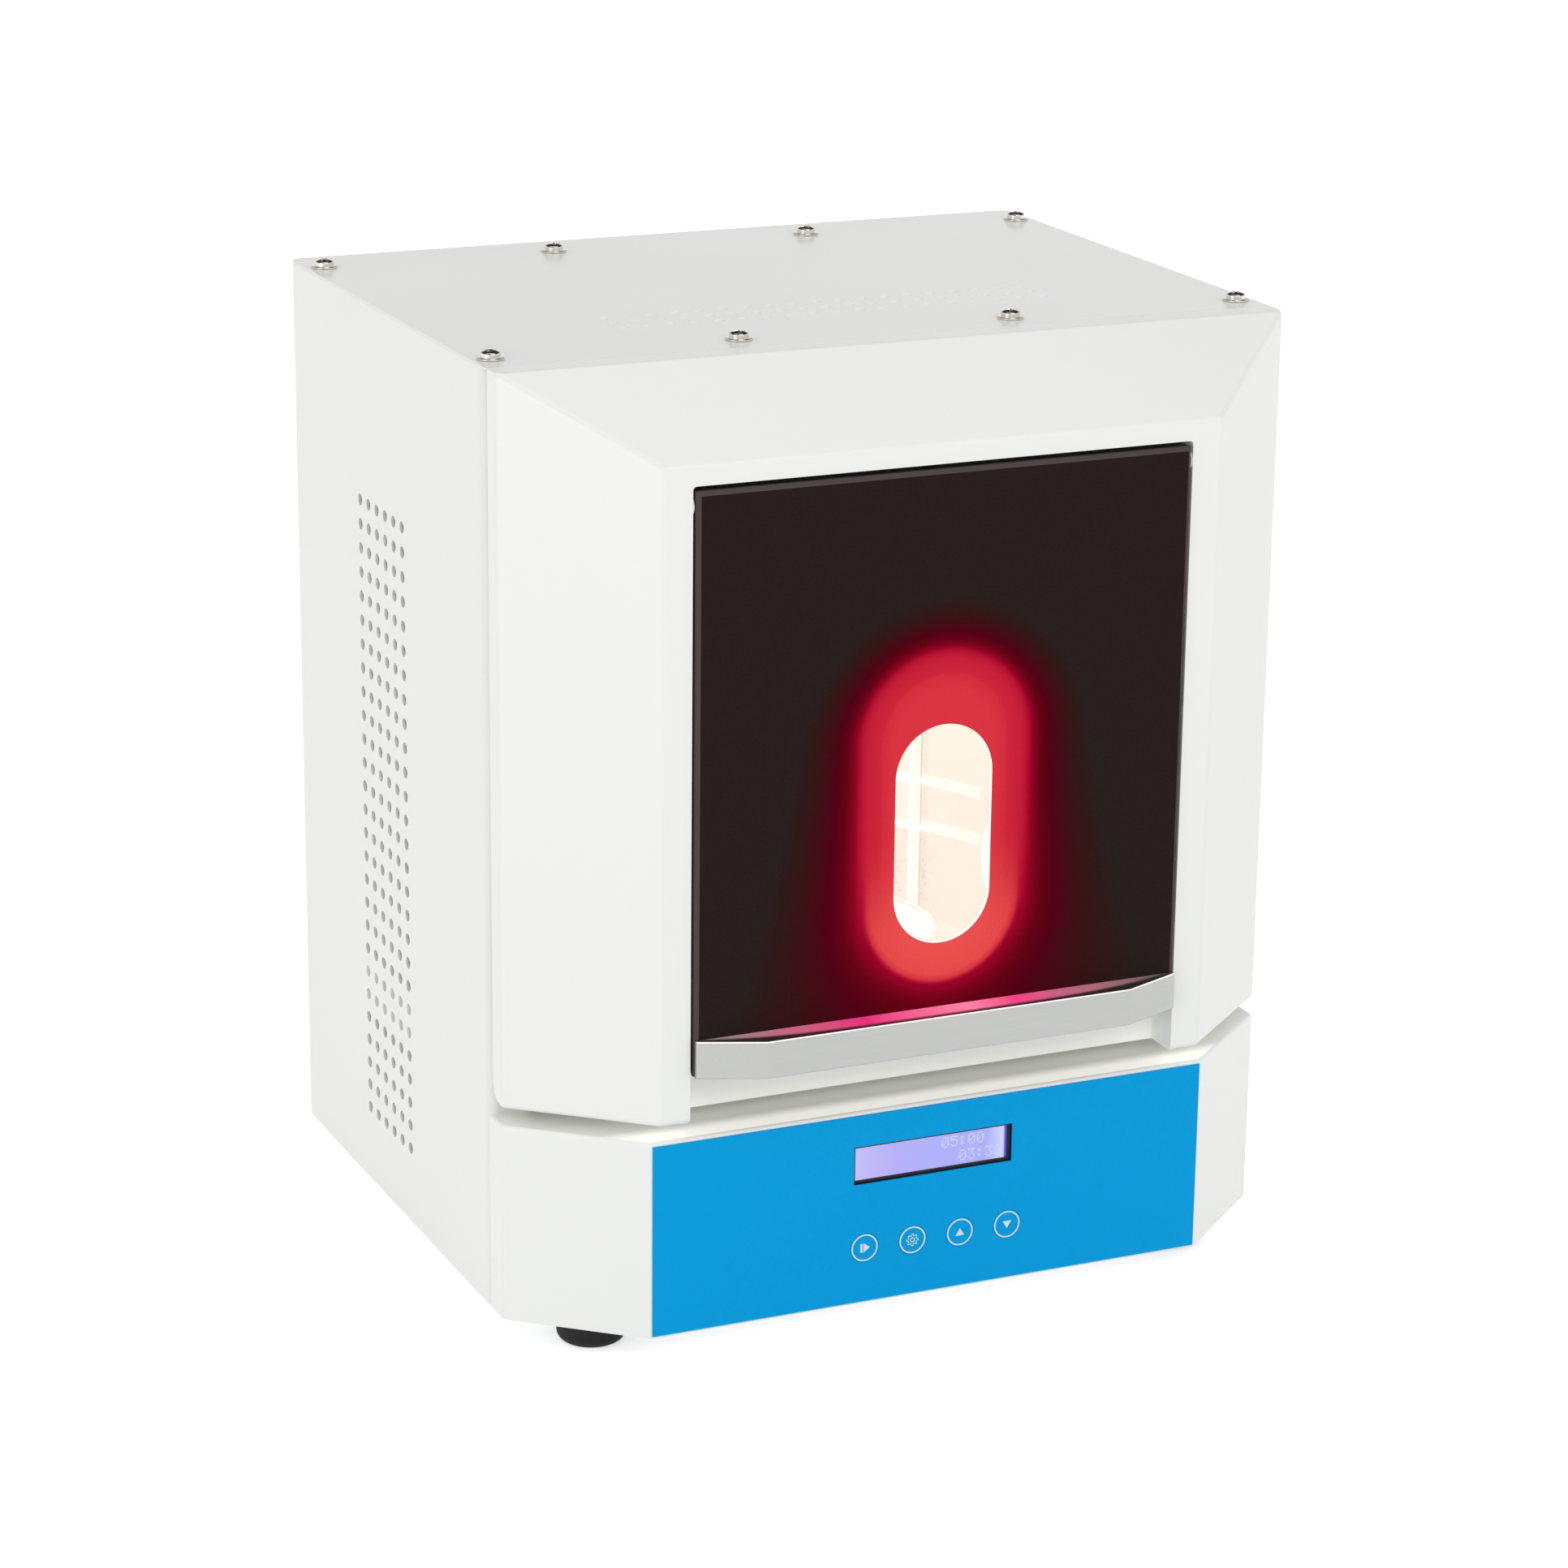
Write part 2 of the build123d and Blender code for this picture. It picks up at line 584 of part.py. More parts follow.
def fascia_side(rear):
    """Side outline of the fascia, drawn in Y and Z: level top, top bevel, flat front, level underside."""
    points = [
        (rear, FASCIA_LOW),
        (rear, TOP),
        (SEAM - STRIP, TOP),
        (FRONT, TOP - FASCIA_TOP_BEVEL),
        (FRONT, FASCIA_LOW),
    ]
    return make_face(Polyline(*points, close=True))


def across(outline):
    """Outline drawn in Y and Z, carried across the cabinet."""
    return Pos(-HALF_W - 1, 0, 0) * extrude(Plane.YZ * outline, amount=CABINET_W + 2)


def pocket_outline(grow):
    """Door pocket seen from the front, open at its lower edge, grown by its wall."""
    half, high = POCKET_HALF + grow, POCKET_HIGH + grow
    low = FASCIA_LOW
    outline = Pos(0, (low + high) / 2) * Rectangle(2 * half, high - low)
    return fillet(outline.vertices().group_by(Axis.Y)[-1], POCKET_R + grow)


def fascia():
    """Bevelled front shell with the pocket that the door closes into."""
    rim = SEAM - SEAM_GAP
    past = SEAM + 4 * MOULD_WALL
    profile = fascia_side(rim)
    heel = profile.vertices().sort_by_distance(Vector(rim, FASCIA_LOW, 0))[0]
    profile = fillet(heel, FASCIA_HEEL_R)
    plan = moulding_plan(FASCIA_PROUD, FASCIA_SIDE_BEVEL, rim)
    outer = slab_z(plan, FASCIA_LOW, TOP) & across(profile)
    soft = [e for e in outer.edges() if e.center().Y < SEAM - STRIP + 1]
    outer = fillet(soft, FASCIA_EDGE_R)
    deep = offset(moulding_plan(FASCIA_PROUD, FASCIA_SIDE_BEVEL, past), -MOULD_WALL, kind=Kind.INTERSECTION)
    tall = offset(fascia_side(past), -MOULD_WALL, kind=Kind.INTERSECTION)
    room = slab_z(deep, FASCIA_LOW, TOP) & across(tall)
    shell = outer - room
    pocket = slab_y(pocket_outline(MOULD_WALL), FRONT + MOULD_WALL / 2, CHAMBER_FRONT)
    shell += pocket & slab_z(plan, FASCIA_LOW, TOP)
    shell += [outer & along_y(x, SEAM - BOSS_L, SEAM, z, BOSS_R) for x, z in boss_places()]
    shell += [along_y(x, rim - REST_GAP, SEAM, z, BOSS_R) for x, z in boss_places()]
    shell -= slab_y(pocket_outline(0), FRONT - 1, POCKET_BACK) + block(
        -POCKET_HALF, POCKET_HALF, FRONT - 1, POCKET_BACK, FASCIA_LOW - 1, DOOR_LOW
    )
    mouth = block(-MOUTH_W / 2, MOUTH_W / 2, POCKET_BACK - 1, CHAMBER_FRONT + 1, MOUTH_LOW, MOUTH_HIGH)
    cuts = [mouth]
    cuts += [along_y(x, SEAM - BOSS_L + BOSS_FLOOR, SEAM + 1, z, M4_R) for x, z in boss_places()]
    bush_end = POCKET_HALF + BUSH_L + REST_GAP
    cuts.append(along_x(-bush_end, bush_end, HINGE_Y, HINGE_Z, PIN_R + FIT + BUSH_WALL + SNUG))
    return shell - cuts


def key_hole(x, y0, y1, slot):
    return along_y(x, y0, y1, KEY_Z, KEY_R + slot)


def housing():
    """Bevelled shell of the control base, open below and behind."""
    plan = moulding_plan(HOUSING_PROUD, HOUSING_SIDE_BEVEL, SEAM)
    outer = slab_z(plan, BASE, BASE + HOUSING_H)
    upright_edges = [e for e in outer.edges().filter_by(Axis.Z) if e.center().Y < SEAM - 1]
    outer = fillet(upright_edges, HOUSING_EDGE_R)
    upper = [e for e in outer.edges().group_by(Axis.Z)[-1] if e.center().Y < SEAM - 1]
    outer = fillet(upper, HOUSING_TOP_R)
    past = moulding_plan(HOUSING_PROUD, HOUSING_SIDE_BEVEL, SEAM + 4 * MOULD_WALL)
    room = slab_z(
        offset(past, -MOULD_WALL, kind=Kind.INTERSECTION), BASE - 1, BASE + HOUSING_H - MOULD_WALL
    )
    shell = outer - room
    shell += [outer & along_y(x, SEAM - BOSS_L, SEAM, z, BOSS_R) for x, z in housing_boss_places()]
    bezel = display_block(BEZEL_W + 2 * SNUG, BEZEL_H + 2 * SNUG, HOUSING_FRONT - 1, WALL_BACK + 1)
    cuts = [bezel] + [key_hole(x, HOUSING_FRONT - 1, WALL_BACK + 1, KEY_SLOT) for x in KEY_X]
    cuts += [along_y(x, SEAM - BOSS_L + BOSS_FLOOR, SEAM + 1, z, M4_R) for x, z in housing_boss_places()]
    return shell - cuts


def overlay():
    """Printed membrane sheet over the whole flat front of the housing."""
    half = HALF_W - HOUSING_SIDE_BEVEL - OVERLAY_EDGE
    low, high = BASE + OVERLAY_EDGE, BASE + HOUSING_H - HOUSING_TOP_R - REST_GAP
    sheet = block(-half, half, OVERLAY_FACE, HOUSING_FRONT, low, high)
    opening = display_block(DISPLAY_W, DISPLAY_H, OVERLAY_FACE - 1, HOUSING_FRONT + 1)
    return sheet - opening - [key_hole(x, OVERLAY_FACE - 1, HOUSING_FRONT + 1, KEY_SLOT) for x in KEY_X]


def key(x):
    """Round key: face flush with the overlay, rim behind the wall, stem over its tact switch."""
    body = along_y(x, OVERLAY_FACE, WALL_BACK + KEY_SLOT, KEY_Z, KEY_R)
    rim_y = WALL_BACK + KEY_SLOT
    body += along_y(x, rim_y, rim_y + KEY_RIM_T, KEY_Z, KEY_R + KEY_RIM)
    return body + along_y(x, rim_y, rim_y + KEY_RIM_T + KEY_STEM_L, KEY_Z, KEY_STEM_R)


# the key board stands where each key's stem stops short of its switch by its travel
STEM_END = WALL_BACK + KEY_SLOT + KEY_RIM_T + KEY_STEM_L
TACT_FACE = STEM_END + KEY_TRAVEL + SNUG
KEY_BOARD_FACE = TACT_FACE + TACT_H
BEZEL_FACE = OVERLAY_FACE + DISPLAY_SET
DISPLAY_BOARD_FACE = BEZEL_FACE + BEZEL_D


def display_block(width, height, y0, y1):
    """Box centred on the display."""
    x, z = DISPLAY_X, DISPLAY_Z
    return block(x - width / 2, x + width / 2, y0, y1, z - height / 2, z + height / 2)


LIT_W = DISPLAY_W - 2 * BEZEL_LINE
LIT_H = DISPLAY_H - 2 * BEZEL_LINE


def display_bezel():
    """Black frame that stands in the housing's opening, on the display board."""
    frame = display_block(BEZEL_W, BEZEL_H, BEZEL_FACE, DISPLAY_BOARD_FACE)
    return frame - display_block(LIT_W, LIT_H, BEZEL_FACE - 1, DISPLAY_BOARD_FACE + 1)


def display_glass():
    front = BEZEL_FACE + GLASS_SET
    return display_block(LIT_W - 2 * SNUG, LIT_H - 2 * SNUG, front, DISPLAY_BOARD_FACE)


def display_board():
    back = DISPLAY_BOARD_FACE + BOARD_T
    board = display_block(DISPLAY_BOARD_W, DISPLAY_BOARD_H, DISPLAY_BOARD_FACE, back)
    roof = BASE + HOUSING_H - MOULD_WALL - REST_GAP
    return board - block(-HALF_W, HALF_W, HOUSING_FRONT, SEAM, roof, TOP)


def key_board():
    half = KEY_BOARD_MARGIN
    return block(
        KEY_X[0] - half,
        KEY_X[-1] + half,
        KEY_BOARD_FACE,
        KEY_BOARD_FACE + BOARD_T,
        KEY_Z - KEY_BOARD_H / 2,
        KEY_Z + KEY_BOARD_H / 2,
    )


def tact_switches():
    made = []
    for x in KEY_X:
        body = block(
            x - TACT / 2,
            x + TACT / 2,
            TACT_FACE + KEY_TRAVEL,
            KEY_BOARD_FACE,
            KEY_Z - TACT / 2,
            KEY_Z + TACT / 2,
        )
        made.append(body + along_y(x, TACT_FACE, TACT_FACE + 2 * KEY_TRAVEL, KEY_Z, TACT_BUTTON_R))
    return made


def board_posts():
    """Posts from the housing's front wall to the corners of the key board and the display board."""
    out, up = KEY_BOARD_MARGIN - POST_IN, KEY_BOARD_H / 2 - POST_IN
    places = [
        (x, KEY_Z + s * up, KEY_BOARD_FACE) for x in (KEY_X[0] - out, KEY_X[-1] + out) for s in (-1, 1)
    ]
    out, low = (BEZEL_W + DISPLAY_BOARD_W) / 4, DISPLAY_Z - DISPLAY_BOARD_H / 2 + POST_IN
    places += [(DISPLAY_X + s * out, low, DISPLAY_BOARD_FACE) for s in (-1, 1)]
    return [along_y(x, WALL_BACK, face, z, POST_R) for x, z, face in places]


# ---- door --------------------------------------------------------------------------------------------
def ring(grow):
    return stadium(RING_W + 2 * grow, RING_H + 2 * grow, 0, DOOR_LOW + RING_RISE)


def window(grow):
    return stadium(WINDOW_W + 2 * grow, WINDOW_H + 2 * grow, 0, DOOR_LOW + WINDOW_RISE)


def handle_screw_places():
    out = DOOR_W / 2 - HANDLE_SCREW_IN
    return [(x, DOOR_LOW + HANDLE_H / 2) for x in (-out, 0, out)]


def door_panel():
    """Dark acrylic sheet with the ring's opening, its front face bevelled along the top and the sides."""
    panel = block(-DOOR_W / 2, DOOR_W / 2, DOOR_FACE, DOOR_FACE + PANEL_T, DOOR_LOW, DOOR_HIGH)
    front_edges = panel.faces().sort_by(Axis.Y)[0].edges().sort_by(Axis.Z)
    panel = chamfer(front_edges[1:], PANEL_CHAMFER)
    panel -= slab_y(ring(SNUG), DOOR_FACE - 1, DOOR_FACE + PANEL_T + 1)
    return panel - [
        along_y(x, DOOR_FACE - 1, DOOR_FACE + PANEL_T + 1, z, M3_R) for x, z in handle_screw_places()
    ]


def filter_ring():
    """Red filter sheet that fills the panel's opening round the clear window."""
    return slab_y(ring(0) - window(SNUG), DOOR_FACE, DOOR_FACE + PANEL_T)


def window_lens():
    """Clear lens: its face in the filter's opening, its lip behind the filter."""
    back = DOOR_FACE + PANEL_T
    return slab_y(window(0), DOOR_FACE + LENS_SET, back) + slab_y(window(LENS_LIP), back, back + LENS_LIP_T)


def door_liner():
    """Inner door tray with a rim that carries the panel's opening and the filter."""
    front, half = DOOR_FACE + PANEL_T, DOOR_W / 2 - LINER_IN
    low, high = DOOR_LOW + LINER_IN, DOOR_HIGH - LINER_IN
    tray = block(-half, half, front, DOOR_BACK, low, high)
    room = half - LINER_WALL
    tray -= block(-room, room, front - 1, DOOR_BACK - LINER_WALL, low + LINER_WALL, high - LINER_WALL)
    tray += slab_y(ring(RIM_W), front, DOOR_BACK - LINER_WALL / 2)
    tray -= slab_y(ring(-RIM_W), front - 1, DOOR_BACK + 1)
    for side in (-1, 1):
        x0, x1 = sorted((side * half, side * (half - PIN_HOLD - LINER_WALL)))
        tray += block(x0, x1, front, DOOR_BACK, high - HINGE_BLOCK, high)
        x0, x1 = sorted((side * (half + 1), side * (half - PIN_HOLD)))
        tray -= along_x(x0, x1, HINGE_Y, HINGE_Z, PIN_R + SNUG)
    return tray


def hinge_pins():
    start = DOOR_W / 2 - LINER_IN - PIN_HOLD
    return [along_x(*sorted((s * start, s * (start + PIN_L))), HINGE_Y, HINGE_Z, PIN_R) for s in (-1, 1)]


def hinge_bushes():
    """Flanged bushes in the pocket's side walls."""
    made = []
    for side in (-1, 1):
        flange = (side * (POCKET_HALF - BUSH_FLANGE_T), side * POCKET_HALF)
        barrel = (side * POCKET_HALF, side * (POCKET_HALF + BUSH_L))
        bush = along_x(*sorted(flange), HINGE_Y, HINGE_Z, PIN_R + FIT + BUSH_WALL + BUSH_FLANGE)
        bush += along_x(*sorted(barrel), HINGE_Y, HINGE_Z, PIN_R + FIT + BUSH_WALL)
        bush -= along_x(-HALF_W, HALF_W, HINGE_Y, HINGE_Z, PIN_R + FIT)
        made.append(bush)
    return made


def door_handle():
    """Aluminium grip along the door's lower edge: a tapered cap, open below for the fingers."""
    half = DOOR_W / 2
    knee = (half - HANDLE_KNEE, DOOR_FACE - HANDLE_PROUD)
    points = [(half, DOOR_FACE), (half, DOOR_FACE - HANDLE_END), knee]
    points += [(-x, y) for x, y in reversed(points)]
    plan = make_face(Polyline(*points, close=True))
    bar = slab_z(plan, DOOR_LOW, DOOR_LOW + HANDLE_H)
    bar = fillet([e for e in bar.edges() if e.bounding_box().max.Y < DOOR_FACE - SNUG], HANDLE_EDGE_R)
    room = offset(plan, -HANDLE_WALL, kind=Kind.INTERSECTION)
    bar -= slab_z(room, DOOR_LOW - 1, DOOR_LOW + HANDLE_H - HANDLE_TOP)
    return bar - [
        along_y(x, DOOR_FACE - HANDLE_WALL - 1, DOOR_FACE + 1, z, M3_R) for x, z in handle_screw_places()
    ]


def handle_screws():
    places = [(x, DOOR_FACE + PANEL_T, z) for x, z in handle_screw_places()]
    return m3_screws(places, HEAD_REAR, PANEL_T + HANDLE_WALL)


def door_seal():
    """Silicone frame round the chamber mouth."""
    outline = frame_outline(MOUTH_W / 2 + SEAL_OUT, MOUTH_LOW - SEAL_OUT, MOUTH_HIGH + SEAL_OUT, SEAL_W)
    return slab_y(outline, POCKET_BACK - SEAL_T, POCKET_BACK)


CATCH_Z = DOOR_LOW + CATCH_RISE


def catch_magnets():
    """Disc magnets on the back of the door's liner."""
    return [along_y(s * CATCH_X, DOOR_BACK, DOOR_BACK + MAGNET_T, CATCH_Z, MAGNET_R) for s in (-1, 1)]


def strike_plates():
    """Steel plates on the pocket's back wall, opposite the magnets."""
    low, high = CATCH_Z - STRIKE_H / 2, CATCH_Z + STRIKE_H / 2
    front, half = DOOR_BACK + MAGNET_T + REST_GAP, STRIKE_W / 2
    xs = (-CATCH_X, CATCH_X)
    return [block(x - half, x + half, front, POCKET_BACK, low, high) for x in xs]


def door_sensor():
    """Reed switch behind the pocket's wall, opposite the right-hand magnet."""
    half, rear = SENSOR_W / 2, CHAMBER_FRONT + SENSOR_T
    return block(CATCH_X - half, CATCH_X + half, CHAMBER_FRONT, rear, CATCH_Z - half, CATCH_Z + SENSOR_H)


# ---- curing chamber ----------------------------------------------------------------------------------
def chamber_plan(grow):
    """Keyhole plan of the chamber: a drum with a straight throat to the door."""
    depth = AXIS_Y - CHAMBER_FRONT
    throat = Pos(0, CHAMBER_FRONT + depth / 2) * Rectangle(MOUTH_W + 2 * grow, depth)
    return Pos(0, AXIS_Y) * Circle(DRUM_R + grow) + throat


def radial(angle, distance):
    """Point of the drum's plan at an angle from the back, turning to the right."""
    return distance * math.sin(math.radians(angle)), AXIS_Y + distance * math.cos(math.radians(angle))


def facing(angle, distance, z):
    """Place on the drum whose local -Y looks at the drum's axis."""
    x, y = radial(angle, distance)
    return Pos(x, y, z) * Rot(Z=-angle)


def reflector():
    """Mirror-bright sheet bent into the chamber's keyhole plan, with two lamp openings."""
    sheet = slab_z(chamber_plan(REFLECTOR_T) - chamber_plan(0), FLOOR, CEILING)
    sheet -= block(-HALF_W, HALF_W, SEAM - FASCIA_PROUD, CHAMBER_FRONT, FLOOR, CEILING)
    for side in (-1, 1):
        hole = Rot(X=90) * Cylinder(LAMP_R + SNUG, 2 * LAMP_L)
        sheet -= facing(side * LAMP_ANGLE, DRUM_R, BASE + LAMP_RISE) * hole
    return sheet


def chamber_plate(low, opening_r):
    half = DRUM_R + PLATE_OUT
    plate = block(-half, half, CHAMBER_FRONT, AXIS_Y + half, low, low + MIRROR_T)
    return plate - upright(0, AXIS_Y, low - 1, low + MIRROR_T + 1, opening_r)


BAR_BACK = DRUM_R - BAR_OFF            # bars' back faces from the drum's axis


def light_bars():
    """Narrow aluminium-core boards that stand from the chamber floor to its ceiling."""
    made = []
    for angle in BAR_ANGLES:
        bar = Box(BAR_W, BAR_T, CHAMBER_H)
        made.append(facing(angle, BAR_BACK - BAR_T / 2, (FLOOR + CEILING) / 2) * bar)
    return made


def bar_emitters():
    """Square emitters in a row down the face of each bar."""
    pitch = CHAMBER_H / LEDS_PER_BAR
    made = []
    for angle in BAR_ANGLES:
        for i in range(LEDS_PER_BAR):
            z = FLOOR + pitch * (i + 0.5)
            made.append(facing(angle, BAR_BACK - BAR_T - LED_T / 2, z) * Box(LED_W, LED_T, LED_W))
    return made


def bar_covers():
    """Opal covers: half-round channels over the emitters, on the faces of the bars."""
    made = []
    for angle in BAR_ANGLES:
        arc = [(-BAR_W / 2, 0), (0, -BAR_COVER_RISE), (BAR_W / 2, 0)]
        segment = make_face(ThreePointArc(*arc) + Line(arc[0], arc[-1]))
        channel = segment - offset(segment, -BAR_COVER_T) - Rectangle(BAR_W - 2 * BAR_COVER_T, 2 * LED_T)
        place = facing(angle, BAR_BACK - BAR_T, FLOOR)
        made.append(place * extrude(channel, amount=CHAMBER_H))
    return made


def light_hoops():
    """Two opal light strips that run round the lower wall of the drum."""
    reach = 2 * DRUM_R
    wedge = [(0, AXIS_Y)] + [radial(share * HOOP_SPAN, reach) for share in (-1, -0.5, 0, 0.5, 1)]
    slice_face = make_face(Polyline(*wedge, close=True))
    annulus = Pos(0, AXIS_Y) * (Circle(DRUM_R - SNUG) - Circle(DRUM_R - HOOP_T))
    return [slab_z(annulus & slice_face, BASE + rise, BASE + rise + HOOP_H) for rise in HOOP_RISES]


LAMP_FACE = math.sqrt(DRUM_R**2 - LAMP_R**2)     # lenses' front faces from the drum's axis


def lamp_disc(side, start, length):
    """Disc of a side lamp, from the given distance behind its lens face."""
    disc = Rot(X=90) * Cylinder(LAMP_R, length)
    return facing(side * LAMP_ANGLE, LAMP_FACE + start + length / 2, BASE + LAMP_RISE) * disc


def side_lamps():
    """Round lamp bodies that pass through the drum's wall near its sides."""
    return [lamp_disc(side, LAMP_LENS_T, LAMP_L - LAMP_LENS_T) for side in (-1, 1)]


def lamp_lenses():
    return [lamp_disc(side, 0, LAMP_LENS_T) for side in (-1, 1)]


def finned(width, depth, height, base, count):
    """Heat sink with its base plate at y = 0 and fins towards +Y, centred on x and z."""
    sink = Pos(0, base / 2, 0) * Box(width, base, height)
    pitch = (width - FIN_T) / (count - 1)
    for i in range(count):
        x = -width / 2 + FIN_T / 2 + pitch * i
        sink += Pos(x, depth / 2, 0) * Box(FIN_T, depth, height)
    return sink


def bar_heatsinks():
    """Finned sinks against the drum's outside, behind the light bars."""
    z = (FLOOR + CEILING) / 2
    sink = finned(SINK_W, SINK_D, SINK_H, SINK_BASE, FIN_COUNT)
    return [facing(angle, DRUM_R + REFLECTOR_T + SNUG, z) * sink for angle in BAR_ANGLES]


def top_lamp_board():
    high = CEILING + MIRROR_T
    return upright(0, AXIS_Y, high, high + BOARD_T, TOP_BOARD_R)


def top_emitters():
    """Emitters under the top lamp board, inside the ceiling's opening."""
    high = CEILING + MIRROR_T
    made = [upright(0, AXIS_Y, high - LED_T, high, TOP_LED_R)]
    for i in range(TOP_RING_COUNT):
        x, y = radial(360 / TOP_RING_COUNT * i, TOP_RING_R)
        made.append(upright(x, y, high - LED_T, high, TOP_LED_R))
    return made


def top_heatsink():
    low = CEILING + MIRROR_T + BOARD_T
    width = 2 * TOP_BOARD_R
    sink = finned(width, TOP_SINK_H, width, SINK_BASE, TOP_FIN_COUNT)
    return Pos(0, AXIS_Y, low) * Rot(X=90) * sink


# ---- turntable ---------------------------------------------------------------------------------------
def turntable_disc():
    """Round mirror-bright table with a fine raised edge."""
    disc = upright(0, AXIS_Y, TABLE_TOP - TABLE_T, TABLE_TOP + TABLE_LIP, TABLE_R)
    return disc - upright(0, AXIS_Y, TABLE_TOP, TABLE_TOP + TABLE_LIP + 1, TABLE_R - TABLE_LIP)


def turntable_hub():
    high = TABLE_TOP - TABLE_T
    hub = upright(0, AXIS_Y, FLOOR + HUB_CLEAR, high, HUB_R)
    return hub - upright(0, AXIS_Y, FLOOR, FLOOR + HUB_CLEAR + SHAFT_IN_HUB, SHAFT_R + SNUG)


MOTOR_TOP = BASE + SHELF_RISE


def motor_screw_xs():
    return [s * (MOTOR_EAR_W / 2 - MOTOR_HOLE_IN) for s in (-1, 1)]


def motor_shaft():
    return upright(0, AXIS_Y, MOTOR_TOP - SHAFT_IN_MOTOR, FLOOR + HUB_CLEAR + SHAFT_IN_HUB, SHAFT_R)


def gear_motor():
    """Slow synchronous gear motor that hangs under the shelf by its two ears."""
    body = upright(0, AXIS_Y, MOTOR_TOP - MOTOR_H, MOTOR_TOP, MOTOR_R)
    ears = block(
        -MOTOR_EAR_W / 2,
        MOTOR_EAR_W / 2,
        AXIS_Y - MOTOR_EAR_H / 2,
        AXIS_Y + MOTOR_EAR_H / 2,
        MOTOR_TOP - MOTOR_EAR_T,
        MOTOR_TOP,
    )
    bore = upright(0, AXIS_Y, MOTOR_TOP - SHAFT_IN_MOTOR - REST_GAP, MOTOR_TOP + 1, SHAFT_R + FIT)
    holes = [upright(x, AXIS_Y, MOTOR_TOP - 2 * MOTOR_EAR_T, MOTOR_TOP + 1, M3_R) for x in motor_screw_xs()]
    return body + ears - bore - holes


def motor_screws():
    places = [(x, AXIS_Y, MOTOR_TOP - MOTOR_EAR_T) for x in motor_screw_xs()]
    return m3_screws(places, HEAD_DOWN, MOTOR_EAR_T + SHEET)


# ---- electrics ---------------------------------------------------------------------------------------
def power_supply():
    """Enclosed supply with a terminal ledge at its left end."""
    y0 = SEAM + CARD_BACK + CARD_D / 2 + SUPPLY_CLEAR
    y1 = y0 + SUPPLY_D
    body = block(-SUPPLY_W / 2, SUPPLY_W / 2, y0, y1, DECK, DECK + SUPPLY_H)
    x = -SUPPLY_W / 2
    return body - block(x - 1, x + LEDGE_D, y0 - 1, y1 + 1, DECK + LEDGE_H, DECK + SUPPLY_H + 1)


def card_centre(side):
    return side * (HALF_W - CARD_IN), SEAM + CARD_BACK


def card_corners(side):
    x, y = card_centre(side)
    dx, dy = CARD_W / 2 - CARD_HOLE_IN, CARD_D / 2 - CARD_HOLE_IN
    return [(x + sx * dx, y + sy * dy) for sx in (-1, 1) for sy in (-1, 1)]


def card(side, chips):
    """Circuit card on four posts, with its larger parts as blocks."""
    x, y = card_centre(side)
    low = DECK + STANDOFF_H
    board = block(x - CARD_W / 2, x + CARD_W / 2, y - CARD_D / 2, y + CARD_D / 2, low, low + BOARD_T)
    board -= [upright(cx, cy, low - 1, low + BOARD_T + 1, M3_R) for cx, cy in card_corners(side)]
    top = low + BOARD_T
    for dx, dy, w, d, h in chips:
        board += block(x + dx - w / 2, x + dx + w / 2, y + dy - d / 2, y + dy + d / 2, top, top + h)
    return board


def card_posts():
    made = []
    for side in (-1, 1):
        for x, y in card_corners(side):
            post = upright(x, y, DECK, DECK + STANDOFF_H, STANDOFF_R)
            made.append(post - upright(x, y, DECK + STANDOFF_FLOOR, DECK + STANDOFF_H + 1, M3_R))
    return made


def card_screws():
    z = DECK + STANDOFF_H + BOARD_T
    places = [(x, y, z) for side in (-1, 1) for x, y in card_corners(side)]
    return m3_screws(places, length=BOARD_T + STANDOFF_H - 2 * STANDOFF_FLOOR)


# each part on a card: x and y from its centre, width, depth and height
CONTROL_CHIPS = ((-18, 6, 16, 16, CHIP_T), (14, -12, 30, 8, 9.0), (18, 14, 12, 10, 8.0))
DRIVER_CHIPS = ((-20, 0, 14, 24, 12.0), (6, 12, 12, 12, 10.0), (22, -8, 16, 10, CHIP_T))


def display_cable():
    """Flat flexible circuit: down the back of the key board, back, and sideways onto the control card."""
    card_x, card_y = card_centre(-1)
    x0 = KEY_X[0] - KEY_BOARD_MARGIN
    x1 = x0 + RIBBON_W
    start = KEY_BOARD_FACE + BOARD_T
    end = card_y - CARD_D / 2 + RIBBON_ON
    low = DECK + STANDOFF_H + BOARD_T
    high = KEY_Z - KEY_BOARD_H / 2 + RIBBON_UP
    drop = block(x0, x1, start, start + RIBBON_T, low, high)
    run = block(x0, x1, start, end, low, low + RIBBON_T)
    return drop + run + block(card_x + CARD_W / 2 - RIBBON_W, x1, end - RIBBON_W, end, low, low + RIBBON_T)


# ---- rear of the cabinet -----------------------------------------------------------------------------
def panel_screw_places():
    half = PANEL_OPEN_W / 2 + PANEL_LAP / 2
    lows = PANEL_LOW - PANEL_LAP / 2, PANEL_LOW + PANEL_OPEN_H + PANEL_LAP / 2
    return [(s * half, z) for s in (-1, 1) for z in (lows[0], PANEL_MID_Z, lows[1])]


def fan_hole_places():
    half = FAN_PITCH / 2
    return [(sx * half, FAN_Z + sz * half) for sx in (-1, 1) for sz in (-1, 1)]


def inlet_screw_places():
    return [(INLET_X, INLET_Z + s * (INLET_H / 2 + INLET_FLANGE)) for s in (-1, 1)]


